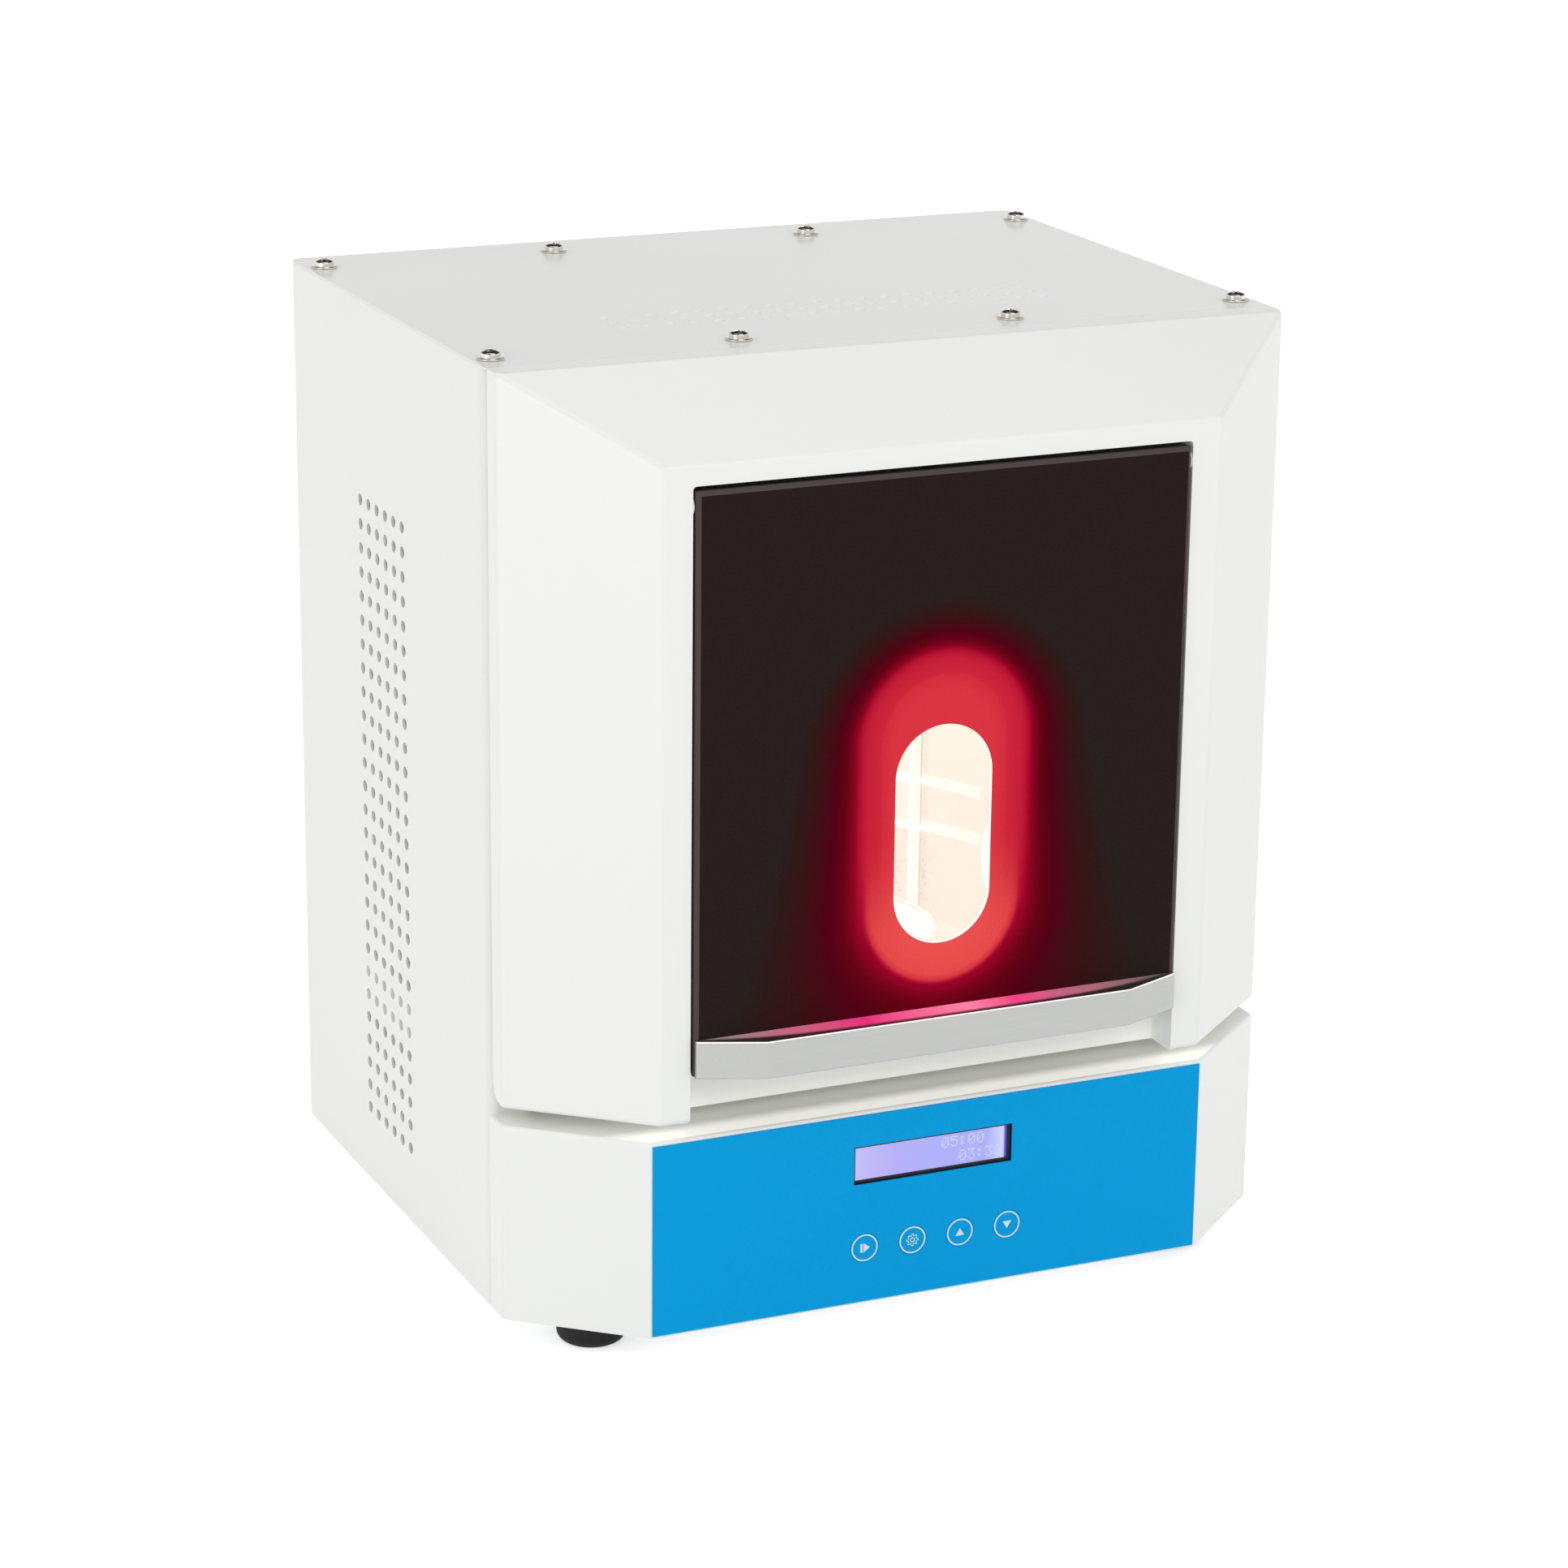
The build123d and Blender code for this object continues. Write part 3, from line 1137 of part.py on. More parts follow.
def rear_panel():
    """Service panel over the opening in the casing's back."""
    outline = Pos(0, PANEL_MID_Z) * RectangleRounded(
        PANEL_OPEN_W + 2 * PANEL_LAP, PANEL_OPEN_H + 2 * PANEL_LAP, PANEL_LAP / 2
    )
    outline -= Pos(0, FAN_Z) * Circle(FAN_BORE_R)
    outline -= [Pos(x, z) * Circle(M4_R) for x, z in fan_hole_places() + panel_screw_places()]
    outline -= [Pos(x, z) * Circle(M3_R) for x, z in inlet_screw_places()]
    outline -= Pos(INLET_X, INLET_Z) * Rectangle(INLET_W + 2 * SNUG, INLET_H + 2 * SNUG)
    outline -= Pos(SWITCH_X, INLET_Z) * Rectangle(
        SWITCH_W - 2 * SWITCH_WALL + 2 * SNUG, SWITCH_H - 2 * SWITCH_WALL + 2 * SNUG
    )
    return slab_y(outline, BACK, PANEL_FACE)


def fan_frame():
    """Square fan frame with a hub on three struts at its inner face."""
    outline = RectangleRounded(FAN_SIZE, FAN_SIZE, FAN_CORNER_R) - Circle(FAN_BORE_R)
    outline = Pos(0, FAN_Z) * outline
    outline -= [Pos(x, z) * Circle(M4_R) for x, z in fan_hole_places()]
    y0 = BACK - FAN_T
    frame = slab_y(outline, y0, BACK)
    hub = along_y(0, y0, y0 + STRUT_T, FAN_Z, FAN_HUB_R)
    for i in range(3):
        strut = Box(FAN_BORE_R + 1, STRUT_T, STRUT_T * 1.5, align=(Align.MIN, Align.MIN, Align.CENTER))
        hub += Pos(0, y0, FAN_Z) * Rot(Y=120 * i + 30) * strut
    hub -= along_y(0, y0 - 1, y0 + STRUT_T + 1, FAN_Z, FAN_AXLE_R + FIT)
    return frame + hub


def fan_rotor():
    """Seven-bladed rotor on a short axle."""
    y0 = BACK - FAN_T + STRUT_T + REST_GAP
    y1 = BACK - ROTOR_SET
    tip = FAN_BORE_R - FAN_TIP_GAP
    rotor = along_y(0, y0, y1, FAN_Z, FAN_HUB_R)
    span = (y1 - y0) / math.cos(math.radians(BLADE_TWIST)) * BLADE_FILL
    root = FAN_HUB_R - BLADE_ROOT
    blade = Rot(X=BLADE_TWIST) * Box(tip - root, span, BLADE_T)
    blade = Pos((root + tip) / 2, (y0 + y1) / 2, 0) * blade & along_y(0, y0, y1, 0, tip)
    for i in range(BLADE_COUNT):
        rotor += Pos(0, 0, FAN_Z) * Rot(Y=360 / BLADE_COUNT * i) * blade
    axle = along_y(0, BACK - FAN_T + REST_GAP, y0 + 1, FAN_Z, FAN_AXLE_R)
    return rotor + axle


def finger_guard():
    """Guard of flat wire: concentric rings on four arms that end in the fan screws' eyes."""
    arm = Rectangle(2 * GUARD_WIRE_R, math.sqrt(2) * FAN_PITCH)
    outline = Rot(Z=45) * arm + Rot(Z=-45) * arm
    outline += [Circle(radius + GUARD_WIRE_R) - Circle(radius - GUARD_WIRE_R) for radius in GUARD_RINGS]
    outline = Pos(0, FAN_Z) * outline
    outline += [Pos(x, z) * Circle(M4_HEAD_R) for x, z in fan_hole_places()]
    outline -= [Pos(x, z) * Circle(M4_R) for x, z in fan_hole_places()]
    return slab_y(outline, PANEL_FACE, PANEL_FACE + 2 * GUARD_WIRE_R)


def fan_screws():
    y = PANEL_FACE + 2 * GUARD_WIRE_R
    return m4_screws([(x, y, z) for x, z in fan_hole_places()], HEAD_REAR)


def panel_screws():
    return m4_screws([(x, PANEL_FACE, z) for x, z in panel_screw_places()], HEAD_REAR)


def power_inlet():
    """Moulded mains inlet: flange outside the panel, socket below, fuse drawer's slot above."""
    front = BACK - INLET_D
    x0, x1 = INLET_X - INLET_W / 2, INLET_X + INLET_W / 2
    body = block(x0, x1, front, PANEL_FACE, INLET_Z - INLET_H / 2, INLET_Z + INLET_H / 2)
    tall = INLET_H + 4 * INLET_FLANGE
    flange = Pos(INLET_X, INLET_Z) * RectangleRounded(INLET_W + 2 * INLET_FLANGE, tall, INLET_FLANGE)
    body += slab_y(flange, PANEL_FACE, PANEL_FACE + INLET_FLANGE_T)
    face = PANEL_FACE + INLET_FLANGE_T
    z = INLET_Z + SOCKET_UP
    socket = Pos(INLET_X, z) * Rectangle(SOCKET_W, SOCKET_H)
    socket = chamfer(socket.vertices().group_by(Axis.Y)[-1], SOCKET_CHAMFER)
    body -= slab_y(socket, face - SOCKET_D, face + 1)
    body -= drawer_block(DRAWER_GAP, face - DRAWER_D - DRAWER_GAP, face + 1)
    body -= [along_y(x, BACK, face + 1, z, M3_R) for x, z in inlet_screw_places()]
    return body


def drawer_block(grow, y0, y1):
    z = INLET_Z + DRAWER_UP
    half_w, half_h = DRAWER_W / 2 + grow, DRAWER_H / 2 + grow
    return block(INLET_X - half_w, INLET_X + half_w, y0, y1, z - half_h, z + half_h)


def fuse_drawer():
    """Pull-out drawer for the fuses, with a thin lip to pull."""
    face = PANEL_FACE + INLET_FLANGE_T
    drawer = drawer_block(0, face - DRAWER_D, face)
    lip = drawer_block(0, face, face + DRAWER_LIP)
    return drawer + lip


def inlet_contacts():
    """Three flat contacts that stand up from the floor of the socket."""
    floor = PANEL_FACE + INLET_FLANGE_T - SOCKET_D
    z = INLET_Z + SOCKET_UP
    places = ((-CONTACT_PITCH, -CONTACT_OFF), (0, CONTACT_OFF), (CONTACT_PITCH, -CONTACT_OFF))
    return [
        block(
            INLET_X + dx - CONTACT_W / 2,
            INLET_X + dx + CONTACT_W / 2,
            floor,
            floor + CONTACT_L,
            z + dz - CONTACT_H / 2,
            z + dz + CONTACT_H / 2,
        )
        for dx, dz in places
    ]


def inlet_screws():
    y = PANEL_FACE + INLET_FLANGE_T
    return m3_screws([(x, y, z) for x, z in inlet_screw_places()], HEAD_REAR)


ROCKER_Y = PANEL_FACE + INLET_FLANGE_T + ROCKER_PROUD - ROCKER_REACH   # pin axis of the rocker


def switch_well():
    """Room that the rocker swings in."""
    half = ROCKER_W / 2 + REST_GAP
    tilt = math.radians(ROCKER_TILT)
    half_h = ROCKER_HALF * math.cos(tilt) + ROCKER_REACH * math.sin(tilt) + REST_GAP
    y0 = ROCKER_Y - 2 * ROCKER_PIN_R - REST_GAP
    y1 = PANEL_FACE + INLET_FLANGE_T + 1
    return block(SWITCH_X - half, SWITCH_X + half, y0, y1, INLET_Z - half_h, INLET_Z + half_h)


def switch_frame():
    """Frame of the mains switch, with a well for the rocker."""
    half_w, half_h = SWITCH_W / 2 - SWITCH_WALL, SWITCH_H / 2 - SWITCH_WALL
    x0, x1 = SWITCH_X - half_w, SWITCH_X + half_w
    frame = block(x0, x1, BACK - SWITCH_D, PANEL_FACE, INLET_Z - half_h, INLET_Z + half_h)
    rim = Pos(SWITCH_X, INLET_Z) * RectangleRounded(SWITCH_W, SWITCH_H, SWITCH_WALL)
    frame += slab_y(rim, PANEL_FACE, PANEL_FACE + INLET_FLANGE_T)
    half = ROCKER_W / 2 + ROCKER_PIN_L + SNUG
    pin = along_x(SWITCH_X - half, SWITCH_X + half, ROCKER_Y, INLET_Z, ROCKER_PIN_R + FIT)
    return frame - switch_well() - pin


def rocker():
    """Rocker with a shallow V in its face, on a pin, pressed in at its lower end."""
    dip = ROCKER_HALF * math.tan(math.radians(ROCKER_TILT))
    half = ROCKER_W / 2
    points = [
        (-1, -ROCKER_HALF),
        (ROCKER_REACH, -ROCKER_HALF),
        (ROCKER_REACH - dip, 0),
        (ROCKER_REACH, ROCKER_HALF),
        (-1, ROCKER_HALF),
    ]
    profile = make_face(Polyline(*points, close=True)) + Circle(2 * ROCKER_PIN_R)
    body = Pos(-half, 0, 0) * extrude(Plane.YZ * profile, amount=ROCKER_W)
    reach = half + ROCKER_PIN_L
    body += along_x(-reach, reach, 0, 0, ROCKER_PIN_R)
    return Pos(SWITCH_X, ROCKER_Y, INLET_Z) * Rot(X=ROCKER_TILT) * body


# ---- fixings at the front and top --------------------------------------------------------------------
def cover_screws():
    return m4_screws([(x, y, TOP + WASHER_T) for x, y in cover_screw_places()])


def cover_washers():
    washer = extrude(Circle(WASHER_R) - Circle(M4_R), amount=WASHER_T)
    return [Pos(x, y, TOP) * washer for x, y in cover_screw_places()]


def moulding_screws():
    """Screws from inside the casing's front flanges into the bosses of both mouldings."""
    places = boss_places() + housing_boss_places()
    return m4_screws([(x, SEAM + SHEET, z) for x, z in places], HEAD_REAR)


def foot_screws():
    places = [(x, y, FOOT_WELL) for x, y in foot_places()]
    return m4_screws(places, HEAD_DOWN, BASE - FOOT_WELL + SHEET + NUT_T + SCREW_TAIL)


def foot_nuts():
    nut = extrude(RegularPolygon(NUT_R, 6) - Circle(M4_R), amount=NUT_T)
    return [Pos(x, y, DECK) * nut for x, y in foot_places()]


# ---- writing -----------------------------------------------------------------------------------------
os.makedirs("parts", exist_ok=True)
save("casing", casing())
save("top_cover", top_cover())
save("top_rail", top_rail())
save("bottom_plate", bottom_plate())
save("shelf", shelf())
save("rubber_feet", *feet())
save("front_fascia", fascia())
save("control_housing", housing())
save("membrane_overlay", overlay())
for name, x in zip(("key_start", "key_set", "key_up", "key_down"), KEY_X):
    save(name, key(x))
save("display_bezel", display_bezel())
save("display_glass", display_glass())
save("front_boards", display_board(), key_board())
save("tact_switches", *tact_switches())
save("door_panel", door_panel())
save("filter_ring", filter_ring())
save("window_lens", window_lens())
save("door_liner", door_liner())
save("hinge_pins", *hinge_pins())
save("hinge_bushes", *hinge_bushes())
save("door_handle", door_handle())
save("handle_screws", *handle_screws())
save("door_seal", door_seal())
save("catch_magnets", *catch_magnets())
save("strike_plates", *strike_plates())
save("door_sensor", door_sensor())
save("reflector", reflector())
save("chamber_floor", chamber_plate(SHELF_TOP, SHAFT_HOLE_R))
save("chamber_ceiling", chamber_plate(CEILING, TOP_OPENING_R))
save("light_boards", *light_bars(), top_lamp_board())
save("light_emitters", *bar_emitters(), *top_emitters())
save("light_diffusers", *light_hoops(), *bar_covers())
save("side_lamps", *side_lamps())
save("lamp_lenses", *lamp_lenses())
save("heat_sinks", *bar_heatsinks(), top_heatsink())
save("turntable_disc", turntable_disc())
save("turntable_hub", turntable_hub())
save("motor_shaft", motor_shaft())
save("gear_motor", gear_motor())
save("power_supply", power_supply())
save("control_card", card(-1, CONTROL_CHIPS))
save("driver_card", card(1, DRIVER_CHIPS))
save("board_posts", *board_posts(), *card_posts())
save("display_cable", display_cable())
save("rear_panel", rear_panel())
save("fan_frame", fan_frame())
save("fan_rotor", fan_rotor())
save("finger_guard", finger_guard())
save("power_inlet", power_inlet())
save("inlet_contacts", *inlet_contacts())
save("fuse_drawer", fuse_drawer())
save("switch_frame", switch_frame())
save("rocker", rocker())
save("cover_screws", *cover_screws())
save("cover_washers", *cover_washers())
rear_screws = panel_screws() + fan_screws() + inlet_screws()
inner_screws = moulding_screws() + card_screws() + motor_screws()
save("case_screws", *rear_screws, *inner_screws)
save("foot_screws", *foot_screws(), *foot_nuts())
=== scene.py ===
# %% [markdown]
# # A dental lab light curing unit
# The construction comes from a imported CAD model: every sheet, moulding, screw and hinge is already there,
# in metres, standing on the bench at z = 0 with its door facing -Y. What is left for Blender is the part
# that a customer sees: the finish of each material, the light in the curing chamber, the print on the keys
# and a few small pieces whose charm is in their rounding, such as screws and bent wire.

# %% Load the frame
import json
import math

import bmesh
import bpy
import numpy as np
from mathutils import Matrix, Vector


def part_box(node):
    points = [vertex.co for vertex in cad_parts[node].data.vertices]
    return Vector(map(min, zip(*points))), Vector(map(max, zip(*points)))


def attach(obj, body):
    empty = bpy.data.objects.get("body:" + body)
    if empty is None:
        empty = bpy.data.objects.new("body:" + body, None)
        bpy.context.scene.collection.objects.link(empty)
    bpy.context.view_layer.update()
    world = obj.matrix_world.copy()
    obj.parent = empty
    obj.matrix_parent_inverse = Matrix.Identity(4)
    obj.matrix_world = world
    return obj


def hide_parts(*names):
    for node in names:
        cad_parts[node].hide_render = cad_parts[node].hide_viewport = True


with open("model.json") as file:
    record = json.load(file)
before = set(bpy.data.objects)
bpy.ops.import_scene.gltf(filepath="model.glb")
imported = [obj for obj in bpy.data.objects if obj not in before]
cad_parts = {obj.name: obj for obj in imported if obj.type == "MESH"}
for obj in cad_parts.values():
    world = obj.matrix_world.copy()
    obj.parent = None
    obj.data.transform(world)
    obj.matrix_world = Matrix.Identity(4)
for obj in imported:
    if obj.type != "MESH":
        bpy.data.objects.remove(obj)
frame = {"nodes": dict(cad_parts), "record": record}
for leftover in ("Cube", "Light", "Camera"):
    if leftover in bpy.data.objects:
        bpy.data.objects.remove(bpy.data.objects[leftover])
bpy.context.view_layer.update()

# %% [markdown]
# ## Three small tools for materials
# Paint makers and printers give colours as sRGB codes, but a renderer counts light, so one function turns a
# code into linear values. A second adds a node, sets it and wires it in one go, which keeps each material
# short enough to read as a recipe. The third says how large a pattern is: textures read the object's own
# coordinates in metres, so a grain of g millimetres needs a scale of 1000 / g.

# %% Colour, node and scale
def linear(code):
    """Linear RGBA of an sRGB hex code: c / 12.92 in the toe, ((c + 0.055) / 1.055) ** 2.4 above it."""
    parts = np.array([int(code[i : i + 2], 16) for i in (1, 3, 5)]) / 255
    value = np.where(parts <= 0.04045, parts / 12.92, ((parts + 0.055) / 1.055) ** 2.4)
    return (*value.tolist(), 1.0)


def add(tree, kind, inputs=None, out=0, to=None, stops=(), **settings):
    """Adds one node, applies its settings and feeds its inputs; returns one output, or the node for None.

    to is a socket that the output is wired to; stops are a colour ramp's (position, sRGB code) pairs.
    """
    made = tree.nodes.new("ShaderNode" + kind)
    for name, value in settings.items():
        setattr(made, name, value)
    for name, value in (inputs or {}).items():
        if isinstance(value, bpy.types.NodeSocket):
            tree.links.new(value, made.inputs[name])
        else:
            made.inputs[name].default_value = value
    for count, (position, code) in enumerate(stops):
        elements = made.color_ramp.elements
        stop = elements[count] if count < 2 else elements.new(position)
        stop.position = position
        stop.color = linear(code)
    if to is not None:
        tree.links.new(made.outputs[out], to)
    return made if out is None else made.outputs[out]


def per_mm(grain):
    """Texture scale at which one feature measures the given number of millimetres."""
    return 1000.0 / grain


def begin(name):
    """New material: itself, its node tree, the object's own coordinates and the socket of its surface."""
    print("finish:", name)
    material = bpy.data.materials.new(name)
    material.use_nodes = True
    tree = material.node_tree
    tree.nodes.clear()
    surface = add(tree, "OutputMaterial", out=None).inputs["Surface"]
    return material, tree, add(tree, "TexCoord", out="Object"), surface


FINISH = {}
print("CAD nodes:", len(frame["nodes"]))

# %% [markdown]
# ## Powder coat on the cabinet
# The cabinet is sheet steel, sprayed with polyester powder and baked. Molten powder flows out into a skin
# that is never quite level: soft hills one to three millimetres apart, called orange peel. The eye reads
# them as a slightly broken sheen. The coat is glossy enough to mirror the screws at a low angle. The cover's
# colour is painted a shade greyer: painted shade on the top.

# %% Powder coat
MM, MICRON = 1e-3, 1e-6
MARGIN = 0.1 * MM
cover_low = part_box("top_cover")[0]

FINISH["cabinet_paint"], tree, place, surface = begin("polyester_powder_coat")
peel = add(tree, "TexNoise", {"Vector": place, "Scale": per_mm(2.4), "Detail": 2.0, "Roughness": 0.45})
cloud = add(tree, "TexNoise", {"Vector": place, "Scale": per_mm(90.0), "Detail": 1.0})
case = add(tree, "Mix", {0: cloud, 6: linear("#F3F4F0"), 7: linear("#F7F7F4")}, out=2, data_type="RGBA")
height = add(tree, "SeparateXYZ", {"Vector": place}, out="Z")
# On the cover the colour is painted a shade greyer: painted shade on the top.
painted_shade_on_cover = add(tree, "Math", {0: height, 1: cover_low.z - MARGIN}, operation="GREATER_THAN")
colour = add(tree, "Mix", {0: painted_shade_on_cover, 6: case, 7: linear("#EEEFEA")}, out=2, data_type="RGBA")
sheen = add(tree, "MapRange", {"Value": cloud, "To Min": 0.14, "To Max": 0.22})
bump = add(tree, "Bump", {"Height": peel, "Distance": 16 * MICRON, "Strength": 0.5})
add(
    tree,
    "BsdfPrincipled",
    {"Base Color": colour, "Roughness": sheen, "Normal": bump, "IOR": 1.5, "Specular IOR Level": 0.4},
    to=surface,
)

# %% [markdown]
# ## Moulded ABS of the front
# The two front mouldings come out of a polished steel tool in white ABS. The surface is smoother than the
# coat, with broad shallow waves where the thick and thin walls cooled at different rates. The recess and
# the groove between the mouldings face nearly nothing but other white walls; a faint glow there is painted
# light that keeps them from going dark, deeper than RECESS_IN behind the front and below the door. On what
# faces up the painted light fades between FADE_START and FADE_END further in, so the shade is left as a
# dark line under the recess wall.

# %% White ABS
front_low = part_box("front_fascia")[0]
door_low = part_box("door_panel")[0]
RECESS_IN = 3.2 * MM
FADE_START, FADE_END = 6.0 * MM, 13.0 * MM
FILL_LIGHT_WALL, FILL_LIGHT_TOP = 0.1, 0.36
SQUARE_ON = 0.1

FINISH["white_moulding"], tree, place, surface = begin("moulded_white_abs")
wave = add(tree, "TexNoise", {"Vector": place, "Scale": per_mm(60.0), "Detail": 0.0})
skin_grain = add(tree, "TexNoise", {"Vector": place, "Scale": per_mm(0.5), "Detail": 2.0})
broad = add(tree, "Bump", {"Height": wave, "Distance": 90 * MICRON, "Strength": 0.5})
bump = add(tree, "Bump", {"Height": skin_grain, "Distance": 6 * MICRON, "Strength": 0.4, "Normal": broad})
sheen = add(tree, "MapRange", {"Value": wave, "To Min": 0.26, "To Max": 0.34})
spot = add(tree, "SeparateXYZ", {"Vector": place}, out=None)
deep = add(tree, "Math", {0: spot.outputs["Y"], 1: front_low.y + RECESS_IN}, operation="GREATER_THAN")
low = add(tree, "Math", {0: spot.outputs["Z"], 1: door_low.z}, operation="LESS_THAN")
turned = add(tree, "SeparateXYZ", {"Vector": add(tree, "TexCoord", out="Normal")}, out=None)
sideways = add(tree, "Math", {0: turned.outputs["X"]}, operation="ABSOLUTE")
square = add(tree, "Math", {0: sideways, 1: SQUARE_ON}, operation="LESS_THAN")
inward = add(tree, "Math", {0: spot.outputs["Y"], 1: front_low.y + RECESS_IN}, operation="SUBTRACT")
inner = add(tree, "MapRange", {"Value": inward, "From Min": FADE_START, "From Max": FADE_END})
on_top = add(tree, "MapRange", {"Value": inner, "To Min": FILL_LIGHT_TOP, "To Max": 0.0})
facing_up = add(tree, "MapRange", {"Value": turned.outputs["Z"], "From Min": 0.1, "From Max": 0.9})
# Painted light: an emitted fill lifts the shade in the recess and the groove.
glow = add(tree, "Mix", {0: facing_up, 2: FILL_LIGHT_WALL, 3: on_top})
for mask in (deep, low, square):
    glow = add(tree, "Math", {0: glow, 1: mask}, operation="MULTIPLY")
painted_fill_light = add(tree, "VectorMath", {0: linear("#FFFDF2")[:3], "Scale": glow}, operation="SCALE")
add(
    tree,
    "BsdfPrincipled",
    {
        "Base Color": linear("#F8F9F5"),
        "Roughness": sheen,
        "Normal": bump,
        "IOR": 1.53,
        "Emission Color": painted_fill_light,
        "Emission Strength": 1.0,
    },
    to=surface,
)

# %% [markdown]
# ## Printed polyester film
# The blue front of the base is a membrane: polyester film printed on its back, so the colour lies under a
# thin clear skin with a fine velvet texture. That skin scatters what it reflects and the blue stays deep.

# %% Membrane film
FINISH["blue_film"], tree, place, surface = begin("printed_polyester_film")
velvet = add(tree, "TexNoise", {"Vector": place, "Scale": per_mm(0.35), "Detail": 2.0})
ink = add(tree, "TexNoise", {"Vector": place, "Scale": per_mm(1.1), "Detail": 3.0})
colour = add(tree, "Mix", {0: ink, 6: linear("#00A0E2"), 7: linear("#00AAED")}, out=2, data_type="RGBA")
bump = add(tree, "Bump", {"Height": velvet, "Distance": 8 * MICRON, "Strength": 0.5})
add(
    tree,
    "BsdfPrincipled",
    {"Base Color": colour, "Roughness": 0.45, "Specular IOR Level": 0.08, "Normal": bump},
    to=surface,
)

# %% [markdown]
# ## The door's acrylic and its glow
# The door is a sheet of dark smoked acrylic with a stadium-shaped opening, filled by a red filter. Light
# from the chamber soaks into the edge of the dark sheet and dies away over about three centimetres, sooner
# above the filter and later below it, since most of the lamps are low. The distance to a stadium has a short
# formula: pull the point towards the upright core line by the stadium's straight half length, measure how
# far it is from what is left, and take off the radius. Both sheets use it, so their glows meet there.

# %% Distance to the filter's outline
ring_low, ring_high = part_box("filter_ring")
RING_R = (ring_high.x - ring_low.x) / 2
RING_MID_Z = (ring_low.z + ring_high.z) / 2
RING_CORE = (ring_high.z - ring_low.z) / 2 - RING_R


def ring_distance(tree, place):
    """Millimetres outside the filter's outline, hypot(x, max(|rise| - core, 0)) - radius, and the rise."""
    split = add(tree, "SeparateXYZ", {"Vector": place}, out=None)
    rise = add(tree, "Math", {0: split.outputs["Z"], 1: RING_MID_Z}, operation="SUBTRACT")
    height = add(tree, "Math", {0: rise}, operation="ABSOLUTE")
    past = add(tree, "Math", {0: height, 1: RING_CORE}, operation="SUBTRACT")
    past = add(tree, "Math", {0: past, 1: 0.0}, operation="MAXIMUM")
    flat = add(tree, "CombineXYZ", {"X": split.outputs["X"], "Y": past, "Z": 0.0})
    reach = add(tree, "VectorMath", {0: flat}, out="Value", operation="LENGTH")
    outside = add(tree, "Math", {0: reach, 1: RING_R}, operation="SUBTRACT")
    return add(tree, "Math", {0: outside, 1: 1 / MM}, operation="MULTIPLY"), rise


print("filter outline: radius %.1f mm, core %.1f mm" % (RING_R / MM, RING_CORE / MM))

# %% Smoked acrylic
GLOW_REACH = 34.0
SOAKED = (
    (0.0, "#A00629"),
    (1.5, "#8F0120"),
    (2.5, "#84011E"),
    (4.0, "#740119"),
    (6.0, "#620114"),
    (10.0, "#530012"),
    (14.0, "#450010"),
    (18.0, "#380008"),
    (22.0, "#2C0003"),
    (28.0, "#190000"),
    (GLOW_REACH, "#000000"),
)

FINISH["dark_acrylic"], tree, place, surface = begin("smoked_cast_acrylic")
outside, rise = ring_distance(tree, place)
hurry = add(
    tree,
    "MapRange",
    {"Value": rise, "From Min": -64 * MM, "From Max": 64 * MM, "To Min": 0.58, "To Max": 1.7},
)
onset = add(
    tree,
    "MapRange",
    {"Value": rise, "From Min": -15 * MM, "From Max": -60 * MM, "To Min": 0.0, "To Max": 2.2},
)
spread = add(tree, "Math", {0: outside, 1: hurry, 2: onset}, operation="MULTIPLY_ADD")
share = add(tree, "Math", {0: spread, 1: GLOW_REACH}, operation="DIVIDE")
glow = add(tree, "ValToRGB", {"Fac": share}, stops=[(mm / GLOW_REACH, code) for mm, code in SOAKED])
grain = add(tree, "TexNoise", {"Vector": place, "Scale": per_mm(0.6), "Detail": 3.0, "Roughness": 0.7})
flicker = add(tree, "MapRange", {"Value": grain, "To Min": 0.8, "To Max": 1.2})
glow = add(tree, "VectorMath", {0: glow, "Scale": flicker}, operation="SCALE")
tint = add(tree, "Mix", {0: grain, 6: linear("#221916"), 7: linear("#322927")}, out=2, data_type="RGBA")
clear_of_glow = add(tree, "MapRange", {"Value": spread, "From Min": 11.0, "From Max": GLOW_REACH})
body = add(tree, "Mix", {0: clear_of_glow, 6: linear("#040000"), 7: tint}, out=2, data_type="RGBA")
normal = add(tree, "TexCoord", out="Normal")
turned = add(tree, "SeparateXYZ", {"Vector": normal}, out="Y")
turned = add(tree, "Math", {0: turned}, operation="ABSOLUTE")
# The faces that don't look forward, the sheet's edges, get a lighter grey: a painted highlight for the light
# they catch.
painted_edge_light = add(tree, "MapRange", {"Value": turned, "From Min": 0.97, "From Max": 0.85})
body = add(tree, "Mix", {0: painted_edge_light, 6: body, 7: linear("#564C4A")}, out=2, data_type="RGBA")
bump = add(tree, "Bump", {"Height": grain, "Distance": 5 * MICRON, "Strength": 0.25})
add(
    tree,
    "BsdfPrincipled",
    {
        "Base Color": body,
        "Roughness": 0.35,
        "Specular IOR Level": 0.01,
        "Normal": bump,
        "Emission Color": glow,
        "Emission Strength": 1.0,
    },
    to=surface,
)

# %% [markdown]
# ## The red filter
# Filter acrylic is dyed right through and lit from behind. It is brightest low down, where it looks onto the
# turntable, and darker in the last few millimetres, where the door's inner rim stands behind it.

# %% Red filter
FILTER_REACH = 15.0
UPPER_GLOW = (
    (0.0, "#A60829"),
    (1.0, "#B11030"),
    (2.0, "#BC1833"),
    (4.0, "#C51F36"),
    (8.5, "#CB2538"),
    (10.0, "#D32D3D"),
    (15.0, "#D93441"),
)
LOWER_GLOW = (
    (0.0, "#8C0121"),
    (2.0, "#940125"),
    (3.0, "#AE112D"),
    (4.0, "#D33340"),
    (6.0, "#E54A49"),
    (15.0, "#EA524E"),
)

